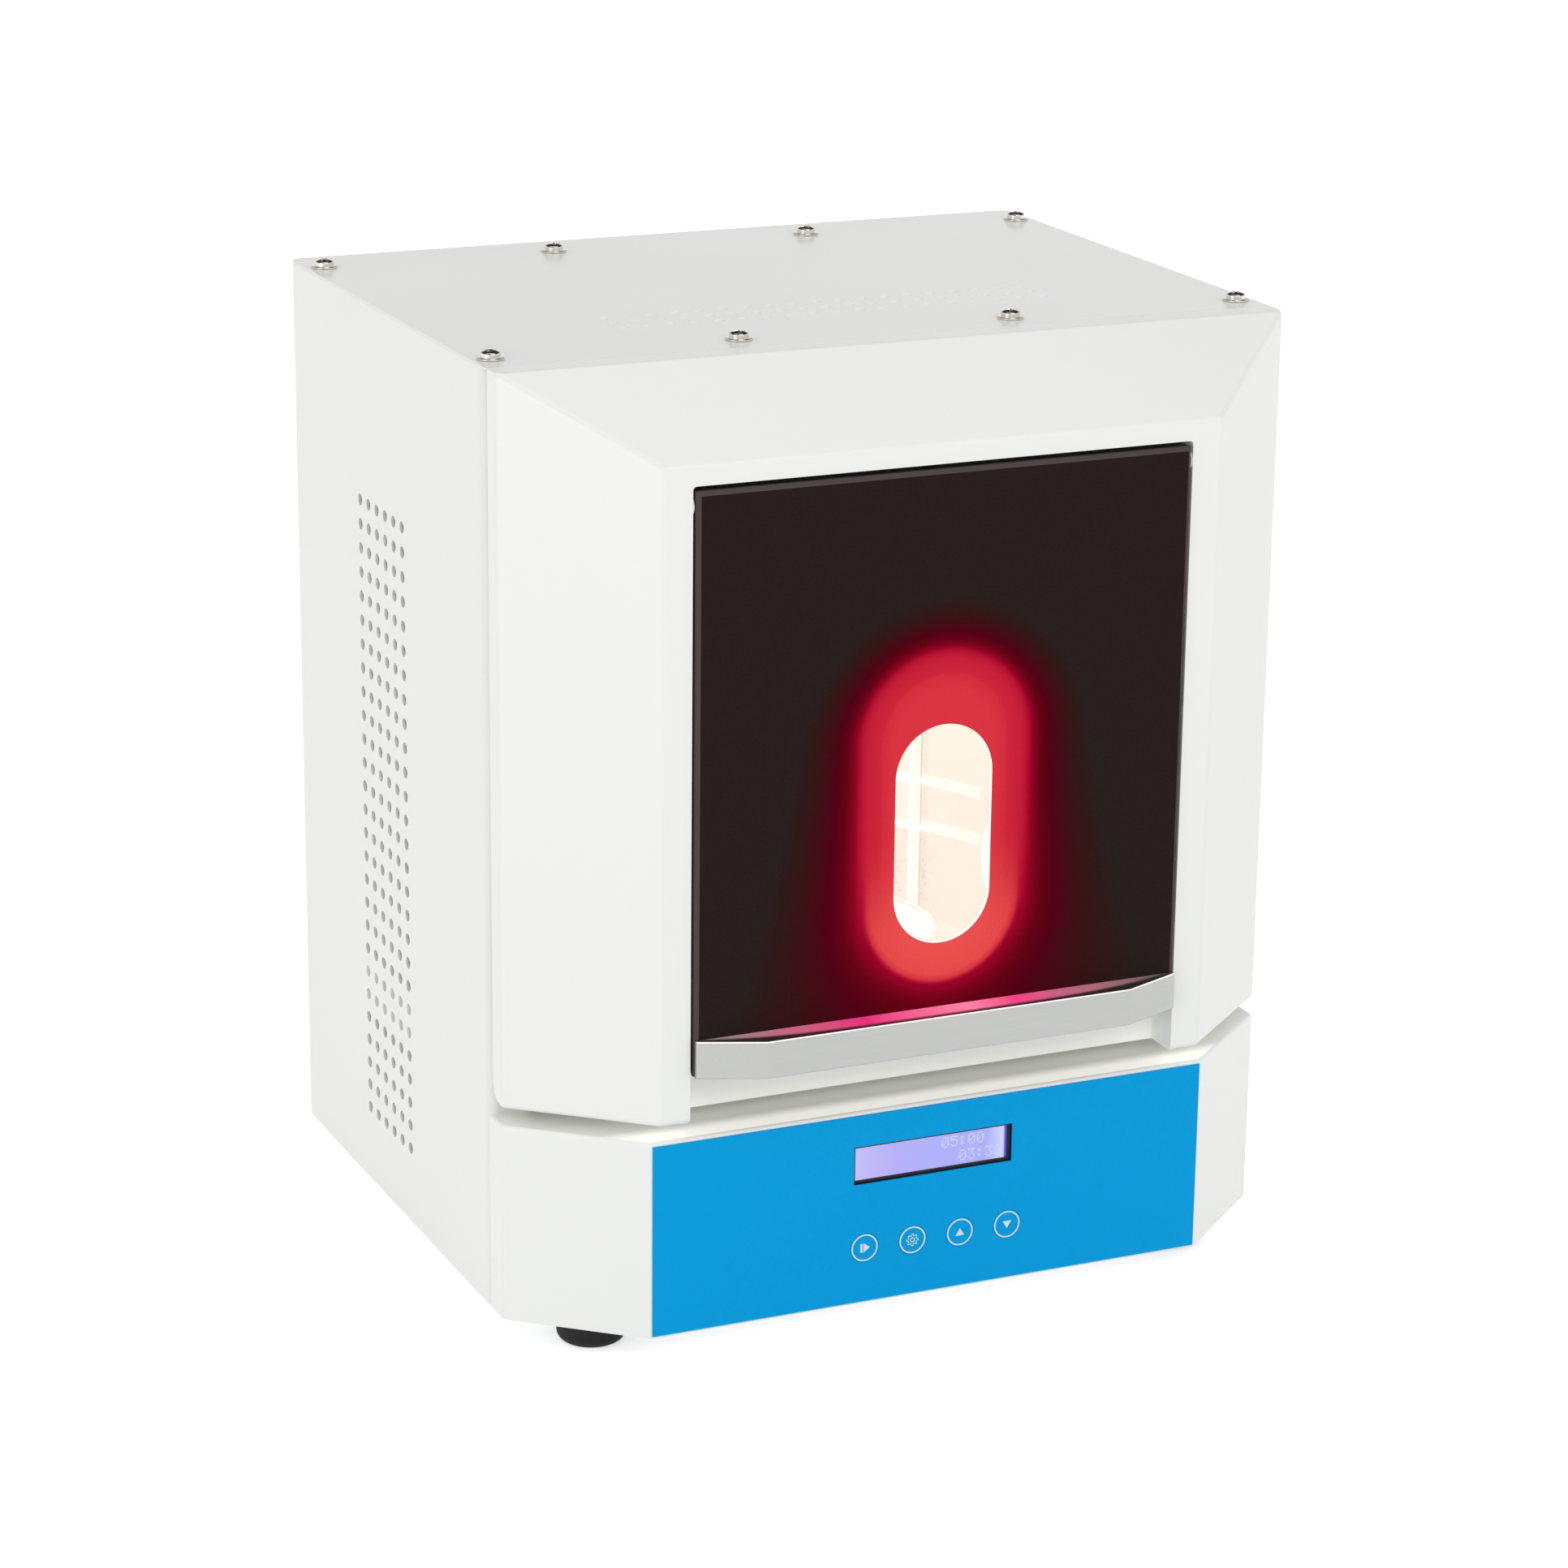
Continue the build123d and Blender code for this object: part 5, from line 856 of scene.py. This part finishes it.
def screw_head(centre, turn):
    """Closed head: polar surface on top, rounded shoulder, straight side, flat underside."""
    angle = np.linspace(0, 2 * np.pi, SCREW_TURNS, endpoint=False)
    radii = np.concatenate([np.linspace(0.02, 2.5, 26), np.linspace(2.6, HEAD_R - 0.45, 4)])
    top = np.outer(np.cos(angle), radii), np.outer(np.sin(angle), radii)
    z = head_height(*top)
    bend = np.linspace(0, np.pi / 2, 7)[1:]
    edge_z = z[:, -1:]
    shoulder = 0.45 * np.sin(bend), 0.75 * (1 - np.cos(bend))
    rim = HEAD_R - 0.45 + np.tile(shoulder[0], (len(angle), 1))
    r = np.concatenate([np.broadcast_to(radii, z.shape), rim], axis=1)
    z = np.concatenate([z, edge_z - shoulder[1]], axis=1)
    r = np.concatenate([r, np.full((len(angle), 1), HEAD_R), np.full((len(angle), 1), 0.02)], axis=1)
    z = np.concatenate([z, np.zeros((len(angle), 2))], axis=1)
    x, y = r * np.cos(angle)[:, None], r * np.sin(angle)[:, None]
    c, s = math.cos(turn), math.sin(turn)
    return np.stack([centre[0] + c * x - s * y, centre[1] + s * x + c * y, centre[2] + z], axis=-1)


def round_rim(inner, outer, height, radius, steps=5):
    """Section of a washer: a rectangle from inner to outer radius whose corners are quarter circles."""
    quarter = np.linspace(0, np.pi / 2, steps)
    far, near, high = outer - radius, inner + radius, height - radius
    corners = ((far, high, 0), (near, high, 1), (near, radius, 2), (far, radius, 3))
    arcs = []
    for r, z, quarters in corners:
        t = quarter + quarters * np.pi / 2
        arcs.append(np.stack([r + radius * np.cos(t), z + radius * np.sin(t)], axis=-1))
    return np.concatenate(arcs)


def upright_tube(centre, radius, low, high, turns=24):
    """Two stations of a circle, for a plain shank."""
    angle = np.linspace(0, 2 * np.pi, turns, endpoint=False)
    circle = np.stack([centre[0] + radius * np.cos(angle), centre[1] + radius * np.sin(angle)], axis=-1)
    return np.stack([np.column_stack([circle, np.full(turns, z)]) for z in (low, high)])


side_x = screw_high.x / MM - HEAD_R
rows = (screw_low.y / MM + HEAD_R, screw_high.y / MM - HEAD_R)
screw_places = [(x, y) for y in rows for x in (-side_x, -COVER_MID_X, COVER_MID_X, side_x)]
seat, washer_top = washer_low.z / MM, washer_high.z / MM
washer_profile = round_rim(WASHER_HOLE_R, WASHER_R, washer_top - seat, 0.22)
turns = np.random.default_rng(7).uniform(0, np.pi / 2, len(screw_places))
heads = [
    skin(screw_head((x, y, washer_top), turn), ring=True) for (x, y), turn in zip(screw_places, turns)
]
shanks = [skin(upright_tube((x, y), 1.98, screw_low.z / MM, washer_top)) for x, y in screw_places]
washers = [skin(lathe(washer_profile, SCREW_TURNS, (x, y, seat)), ring=True) for x, y in screw_places]
cover_screws = piece("pan_head_screws", heads + shanks, "cabinet", "nickel_plate", smooth=math.radians(40))
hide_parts("cover_screws")
cover_washers = piece("flat_washers", washers, "cabinet", "nickel_plate", smooth=math.radians(60))
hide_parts("cover_washers")

# %% [markdown]
# ## Prints on the keys
# Each key carries a white ring and a sign, screen printed. A print is a film of ink a few hundredths of a
# millimetre high, so it is made as a very thin plate that stands on the key and travels with it. A gear is
# a circle whose radius steps up and down eight times in a turn.

# %% Print ink
FINISH["white_print"], tree, place, surface = begin("white_screen_ink")
speck = add(tree, "TexNoise", {"Vector": place, "Scale": per_mm(0.25), "Detail": 2.0})
tone = add(tree, "Mix", {0: speck, 6: linear("#D8E8F4"), 7: linear("#EAF4FB")}, out=2, data_type="RGBA")
add(
    tree,
    "BsdfPrincipled",
    {"Base Color": tone, "Roughness": 0.5, "Specular IOR Level": 0.3},
    to=surface,
)

INK = 0.04
RING_OUT, RING_LINE = 5.3, 0.55
TEETH = 8


def plate(outline, centre, face_y):
    """Outline in X and Z, from the key's face to one ink thickness ahead of it."""
    x, z = centre[0] + outline[:, 0], centre[1] + outline[:, 1]
    return np.stack([np.stack([x, np.full_like(x, y), z], axis=-1) for y in (face_y, face_y - INK)])


def band(outer, inner, centre, face_y):
    """Closed line between two outlines of as many points: four corners carried round."""
    loops = [(outer, face_y), (outer, face_y - INK), (inner, face_y - INK), (inner, face_y)]
    corner = [
        np.stack([centre[0] + o[:, 0], np.full(len(o), y), centre[1] + o[:, 1]], axis=-1) for o, y in loops
    ]
    return np.stack(corner, axis=1)


def circle(radius, points=72):
    """Points (r cos t, r sin t)."""
    t = np.linspace(0, 2 * np.pi, points, endpoint=False)
    return np.stack([radius * np.cos(t), radius * np.sin(t)], axis=-1)


def gear(root, tip, points=192):
    """Circle whose radius goes from root to tip and back TEETH times, on soft steps of cos(TEETH t)."""
    t = np.linspace(0, 2 * np.pi, points, endpoint=False)
    r = root + (tip - root) * smooth_step(np.cos(TEETH * t), -0.35, 0.35)
    return np.stack([r * np.cos(t), r * np.sin(t)], axis=-1)


def polygon(*corners):
    """Corners (x, z) of a straight-sided outline."""
    return np.array(corners, dtype=float)


def print_sign(key_node, name, skins_at):
    """Ring and sign on one key, from the middle of the key's front face."""
    low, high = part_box(key_node)
    centre = ((low.x + high.x) / 2 / MM, (low.z + high.z) / 2 / MM)
    face_y = low.y / MM
    ring_line = band(circle(RING_OUT), circle(RING_OUT - RING_LINE), centre, face_y)
    sign = [skin(ring_line, ring=True)] + skins_at(centre, face_y)
    return piece(name, sign, key_node, "blue_film", "white_print")


def start_sign(centre, face_y):
    """A bar and a forward triangle: start and pause."""
    bar = polygon((-1.75, -1.7), (-0.85, -1.7), (-0.85, 1.7), (-1.75, 1.7))
    arrow = polygon((-0.45, -1.85), (2.15, 0.0), (-0.45, 1.85))
    return [skin(plate(bar, centre, face_y)), skin(plate(arrow, centre, face_y))]


def gear_sign(centre, face_y):
    """Outline of a gear with a round hole: settings."""
    teeth = band(gear(1.85, 2.45), gear(1.5, 2.05), centre, face_y)
    hole = band(circle(0.95), circle(0.62), centre, face_y)
    return [skin(teeth, ring=True), skin(hole, ring=True)]


def arrow_sign(up):
    """Filled triangle that points up or down."""
    return lambda centre, face_y: [
        skin(plate(polygon((-1.75, -1.35 * up), (1.75, -1.35 * up), (0.0, 1.55 * up)), centre, face_y))
    ]


# %% Signs on their keys
print_sign("key_start", "print_start", start_sign)
print_sign("key_set", "print_set", gear_sign)
print_sign("key_up", "print_up", arrow_sign(1))
print_sign("key_down", "print_down", arrow_sign(-1))

# %% [markdown]
# ## Dots of the display
# A character display writes with square dots, five across and seven down. Each sign is a small picture of
# ones and zeros, and each one becomes a thin plate a hair in front of the glass. The time left is in minutes
# and seconds, in a tone close to the backlight, as on a display that is washed out by it.

# %% Time on the display
FINISH["display_dots"], tree, place, surface = begin("pale_display_dots")
flicker = add(tree, "TexNoise", {"Vector": place, "Scale": per_mm(0.8)})
tone = add(tree, "Mix", {0: flicker, 6: linear("#C4C6FB"), 7: linear("#D6D8FD")}, out=2, data_type="RGBA")
add(
    tree,
    "BsdfPrincipled",
    {"Base Color": linear("#08060E"), "Roughness": 0.3, "Emission Color": tone, "Emission Strength": 0.95},
    to=surface,
)

DOTS = {
    "0": "01110 10001 10011 10101 11001 10001 01110",
    "3": "11111 00010 00100 00010 00001 10001 01110",
    "5": "11111 10000 11110 00001 00001 10001 01110",
    ":": "00000 01100 01100 00000 01100 01100 00000",
}
CHARACTER_PITCH, LINE_PITCH, DOT = 3.6, 6.0, 0.52


def dot_plates(text, left, top, face_y):
    """One plate for each lit dot of a line of text, from its upper left corner."""
    half, made = DOT / 2, []
    square = polygon((-half, -half), (half, -half), (half, half), (-half, half))
    for place_in_line, sign in enumerate(text):
        for row, bits in enumerate(DOTS[sign].split()):
            for column, bit in enumerate(bits):
                if bit == "1":
                    x = left + place_in_line * CHARACTER_PITCH + column * DOT_PITCH
                    made.append(skin(plate(square, (x, top - row * DOT_PITCH), face_y)))
    return made


line_left = glass_low.x / MM + 3.2
line_top = glass_high.z / MM - 1.5
glass_y = glass_low.y / MM
time_lines = dot_plates("05:00", line_left + 9 * CHARACTER_PITCH, line_top, glass_y)
time_lines += dot_plates("03:30", line_left + 11 * CHARACTER_PITCH, line_top - LINE_PITCH, glass_y)
piece("display_time", time_lines, "cabinet", "lit_display", "display_dots")

# %% [markdown]
# ## Finger guard of bent wire
# The fan's guard is four rings of steel wire welded onto two crossing wires that end in eyes under the
# screws. A wire is a small circle carried along a path: at each station the circle stands square to it.

# %% Wire guard
guard_low, guard_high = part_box("finger_guard")
WIRE_R = (guard_high.y - guard_low.y) / 2 / MM
guard_y = (guard_low.y + guard_high.y) / 2 / MM
guard_z = (guard_low.z + guard_high.z) / 2 / MM
GUARD_RINGS = (12.0, 20.0, 28.0, 36.0)
EYE_R = 3.6 - WIRE_R
FAN_HOLE = (guard_high.x - guard_low.x) / 2 / MM - EYE_R - WIRE_R


def wire_ring(x, z, radius, points=96, around=14):
    """Torus in the XZ plane: wire circle (R + r cos u, r sin u) turned about Y."""
    t = np.linspace(0, 2 * np.pi, points, endpoint=False)[:, None]
    u = np.linspace(0, 2 * np.pi, around, endpoint=False)[None, :]
    reach = radius + WIRE_R * np.cos(u)
    y = guard_y + WIRE_R * np.sin(u) + 0 * t
    return np.stack([x + reach * np.cos(t), y, z + reach * np.sin(t)], axis=-1)


def wire_run(start, end, around=14):
    """Straight wire between two points (x, z): its circle lies in the plane square to the run."""
    start, end = np.array(start), np.array(end)
    along = (end - start) / np.linalg.norm(end - start)
    u = np.linspace(0, 2 * np.pi, around, endpoint=False)
    x = -along[1] * WIRE_R * np.cos(u)
    z = along[0] * WIRE_R * np.cos(u)
    y = guard_y + WIRE_R * np.sin(u)
    return np.stack([np.stack([p[0] + x, y, p[1] + z], axis=-1) for p in (start, end)])


guard = [skin(wire_ring(0, guard_z, radius), ring=True) for radius in GUARD_RINGS]
eyes = [(sx * FAN_HOLE, guard_z + sz * FAN_HOLE) for sx in (-1, 1) for sz in (-1, 1)]
guard += [skin(wire_ring(x, z, EYE_R, points=32), ring=True) for x, z in eyes]
for slope in (-1, 1):
    tip = FAN_HOLE - EYE_R * math.sqrt(0.5)
    guard.append(skin(wire_run((-tip, guard_z - slope * tip), (tip, guard_z + slope * tip))))
wire_guard = piece("wire_finger_guard", guard, "cabinet", "nickel_plate", smooth=math.radians(60))
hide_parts("finger_guard")

# %% [markdown]
# ## Light baffles behind the vents
# Curing light harms the eyes, so it must not leave through the vents. Behind each grid a white sheet stands
# a few millimetres off: air goes round it, light doesn't. It is also what the eye meets through the holes.
# Its section is a shallow hat, a plate between two feet, carried along the grid. The one under the cover
# gets a painted glow, painted light that makes its holes look as pale as the cover.

# %% Baffle enamel
PAINTED_BAFFLE_LIGHT = 0.33
GLOW_START, GLOW_FULL = 12 * MM, 6 * MM

FINISH["baffle_enamel"], tree, place, surface = begin("matt_white_enamel")
height = add(tree, "SeparateXYZ", {"Vector": place}, out="Z")
under = add(tree, "Math", {0: cover_low.z, 1: height}, operation="SUBTRACT")
# Painted light: the baffle under the cover glows, so its holes look pale.
lit = add(
    tree,
    "MapRange",
    {"Value": under, "From Min": GLOW_START, "From Max": GLOW_FULL, "To Max": PAINTED_BAFFLE_LIGHT},
)
mottle = add(tree, "TexNoise", {"Vector": place, "Scale": per_mm(2.0), "Detail": 2.0})
dull = add(tree, "MapRange", {"Value": mottle, "To Min": 0.5, "To Max": 0.65})
add(
    tree,
    "BsdfPrincipled",
    {
        "Base Color": linear("#F2F2EE"),
        "Roughness": dull,
        "Emission Color": linear("#FFFDF8"),
        "Emission Strength": lit,
    },
    to=surface,
)

# %% Baffles
casing_low, casing_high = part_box("casing")
shelf_low, shelf_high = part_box("shelf")
SHEET, BAFFLE_T = 1.2, 0.8
SIDE_OFF, TOP_OFF = 4.5, 0.6
BAFFLE_FOOT = 6.0
SIDE_GRID = (2.5, 62.5)
TOP_GRID = (-40.5, -6.5)
TOP_GRID_HALF = 94.0


def hat_section(low, high, off):
    """Points (along, off) of a folded sheet: foot, wall, plate, wall, foot, and back one sheet inward."""
    toe_low, toe_high, deep = low - BAFFLE_FOOT, high + BAFFLE_FOOT, off + BAFFLE_T
    outer = [(toe_low, 0.0), (low, 0.0), (low, off), (high, off), (high, 0.0), (toe_high, 0.0)]
    inner = [(toe_high, BAFFLE_T), (high + BAFFLE_T, BAFFLE_T), (high + BAFFLE_T, deep)]
    inner += [(low - BAFFLE_T, deep), (low - BAFFLE_T, BAFFLE_T), (toe_low, BAFFLE_T)]
    return np.array(outer + inner)


def side_baffle(side, low, high):
    """Hat that stands inside a side wall, between two heights."""
    section = hat_section(*SIDE_GRID, SIDE_OFF)
    wall = casing_high.x / MM - SHEET
    x = side * (wall - section[:, 1])
    return np.stack([np.stack([x, section[:, 0], np.full(len(x), z)], axis=-1) for z in (low, high)])


def top_baffle():
    """Hat that hangs under the cover, from side to side."""
    section = hat_section(*TOP_GRID, TOP_OFF)
    z = casing_high.z / MM - section[:, 1]
    half = TOP_GRID_HALF
    return np.stack([np.stack([np.full(len(z), x), section[:, 0], z], axis=-1) for x in (-half, half)])


spans = ((casing_low.z / MM + 18.0, shelf_low.z / MM - 2.0), (shelf_high.z / MM + 2.0, 298.0))
baffles = [skin(side_baffle(side, *span)) for side in (-1, 1) for span in spans]
baffles.append(skin(top_baffle()))
piece("vent_baffles", baffles, "cabinet", "cabinet_paint", "baffle_enamel")

# %% [markdown]
# ## Floor, air and lamps
# The unit stands on a white floor in an even white room, and two broad soft lamps add light to its left side
# and its front, so those are a little brighter than the top. The right side of the room gives a little less.
# Where the eye meets floor or room directly they are white. In mirrors and shiny coats the walls are white
# too, but above WALL_TOP they darken, up to a broad white soft box overhead: that draws black arcs and white
# caps on a domed screw head, and it keeps the cover, which mirrors the upper walls, greyer than the sides.

# %% Floor
FLOOR_HALF = 6.0
FLOOR_WHITE = 0.6

floor_mesh = bpy.data.meshes.new("floor")
floor_corners = [(x * FLOOR_HALF, y * FLOOR_HALF, 0) for x, y in ((-1, -1), (1, -1), (1, 1), (-1, 1))]
floor_mesh.from_pydata(floor_corners, [], [(0, 1, 2, 3)])
floor = bpy.data.objects.new("floor", floor_mesh)
bpy.context.collection.objects.link(floor)

floor_paint, tree, place, surface = begin("white_floor")
path = add(tree, "LightPath", out=None)
mirrored = {0: path.outputs["Is Glossy Ray"], 1: path.outputs["Is Transmission Ray"]}
seen = add(tree, "Math", mirrored, operation="MAXIMUM")
seen = add(tree, "Math", {0: seen, 1: path.outputs["Is Camera Ray"]}, operation="MAXIMUM")
extra = add(tree, "Math", {0: seen, 1: FLOOR_WHITE}, operation="MULTIPLY")
matt = add(tree, "BsdfDiffuse", {"Color": linear("#F0F0F0")})
glow = add(tree, "Emission", {"Color": linear("#FFFFFF"), "Strength": extra})
add(tree, "AddShader", {0: matt, 1: glow}, to=surface)
floor_mesh.materials.append(floor_paint)
print("floor: %.0f m square" % (2 * FLOOR_HALF))

# %% Room
ROOM_LIGHT = 0.75
CEILING_MIRRORED = 0.04
WALL_TOP, CEILING_EDGE = 0.15, 0.5
BOX_EDGE, BOX_FULL = 0.84, 0.92
RIGHT_LOSS = 0.12

world = bpy.data.worlds.new("white_room")
world.use_nodes = True
tree = world.node_tree
tree.nodes.clear()
aim = add(tree, "TexCoord", out="Generated")
aim = add(tree, "SeparateXYZ", {"Vector": aim}, out=None)
steep = aim.outputs["Z"]
fade = add(tree, "MapRange", {"Value": steep, "From Min": WALL_TOP, "From Max": CEILING_EDGE})
shiny = add(tree, "MapRange", {"Value": fade, "To Min": 1.0, "To Max": CEILING_MIRRORED})
box = add(tree, "MapRange", {"Value": steep, "From Min": BOX_EDGE, "From Max": BOX_FULL})
shiny = add(tree, "Math", {0: shiny, 1: box}, operation="MAXIMUM")
soft = add(
    tree,
    "MapRange",
    {"Value": aim.outputs["X"], "To Min": ROOM_LIGHT, "To Max": ROOM_LIGHT - RIGHT_LOSS},
)
path = add(tree, "LightPath", out=None)
mirrored = {0: path.outputs["Is Glossy Ray"], 1: path.outputs["Is Transmission Ray"]}
seen = add(tree, "Math", mirrored, operation="MAXIMUM")
strength = add(tree, "MapRange", {"Value": seen, "To Min": soft, "To Max": shiny})
strength = add(tree, "Math", {0: strength, 1: path.outputs["Is Camera Ray"]}, operation="MAXIMUM")
air = add(tree, "Background", {"Color": linear("#FFFFFF"), "Strength": strength})
add(tree, "OutputWorld", {"Surface": air}, out=None)
bpy.context.scene.world = world
print("room light: %.2f, %.2f at its right side" % (ROOM_LIGHT, ROOM_LIGHT - RIGHT_LOSS))

# %% Lamps
TARGET = (0.0, 0.0, 0.15)


def soft_lamp(name, place, wide, high, watts):
    """Area lamp at a place in metres, turned to the middle of the unit."""
    lamp = bpy.data.lights.new(name, "AREA")
    lamp.shape = "RECTANGLE"
    lamp.size, lamp.size_y, lamp.energy = wide, high, watts
    lit = bpy.data.objects.new(name, lamp)
    lit.location = place
    away = lit.location - type(lit.location)(TARGET)
    lit.rotation_euler = away.to_track_quat("Z", "Y").to_euler()
    bpy.context.collection.objects.link(lit)
    print("%s: %.2f m away" % (name, away.length))


soft_lamp("left_lamp", (-1.7, -0.8, 0.40), 1.2, 0.6, 3.1)
soft_lamp("front_lamp", (0.1, -1.75, 1.2), 1.8, 0.5, 6.6)

# %% [markdown]
# ## Camera
# A 103 mm lens from about 1.8 m away, a little above the unit and to its left, with a trace of roll. The
# camera's axes are the columns of its matrix: right, up and back.

# %% Camera
AZIMUTH, ELEVATION, ROLL = (math.radians(v) for v in (-24.1437, 17.2242, 0.6424))
LENS, SENSOR = 103.445, 36.0
CAMERA_PLACE = (-0.6829, -1.51415, 0.6877)

a, e = AZIMUTH, ELEVATION
right = np.array([math.cos(a), math.sin(a), 0.0])
up = np.array([-math.sin(e) * math.sin(a), math.sin(e) * math.cos(a), math.cos(e)])
back = np.array([math.sin(a) * math.cos(e), -math.cos(a) * math.cos(e), math.sin(e)])
rolled_right = right * math.cos(ROLL) + up * math.sin(ROLL)
rolled_up = up * math.cos(ROLL) - right * math.sin(ROLL)
pose = np.eye(4)
pose[:3, 0], pose[:3, 1], pose[:3, 2], pose[:3, 3] = rolled_right, rolled_up, back, CAMERA_PLACE

camera = bpy.data.objects.new("camera", bpy.data.cameras.new("camera"))
camera.data.lens, camera.data.sensor_width = LENS, SENSOR
camera.matrix_world = pose.T.tolist()
bpy.context.collection.objects.link(camera)
scene = bpy.context.scene
scene.camera = camera
scene.view_settings.view_transform = "Standard"
print("camera: %.1f mm lens at" % LENS, CAMERA_PLACE)
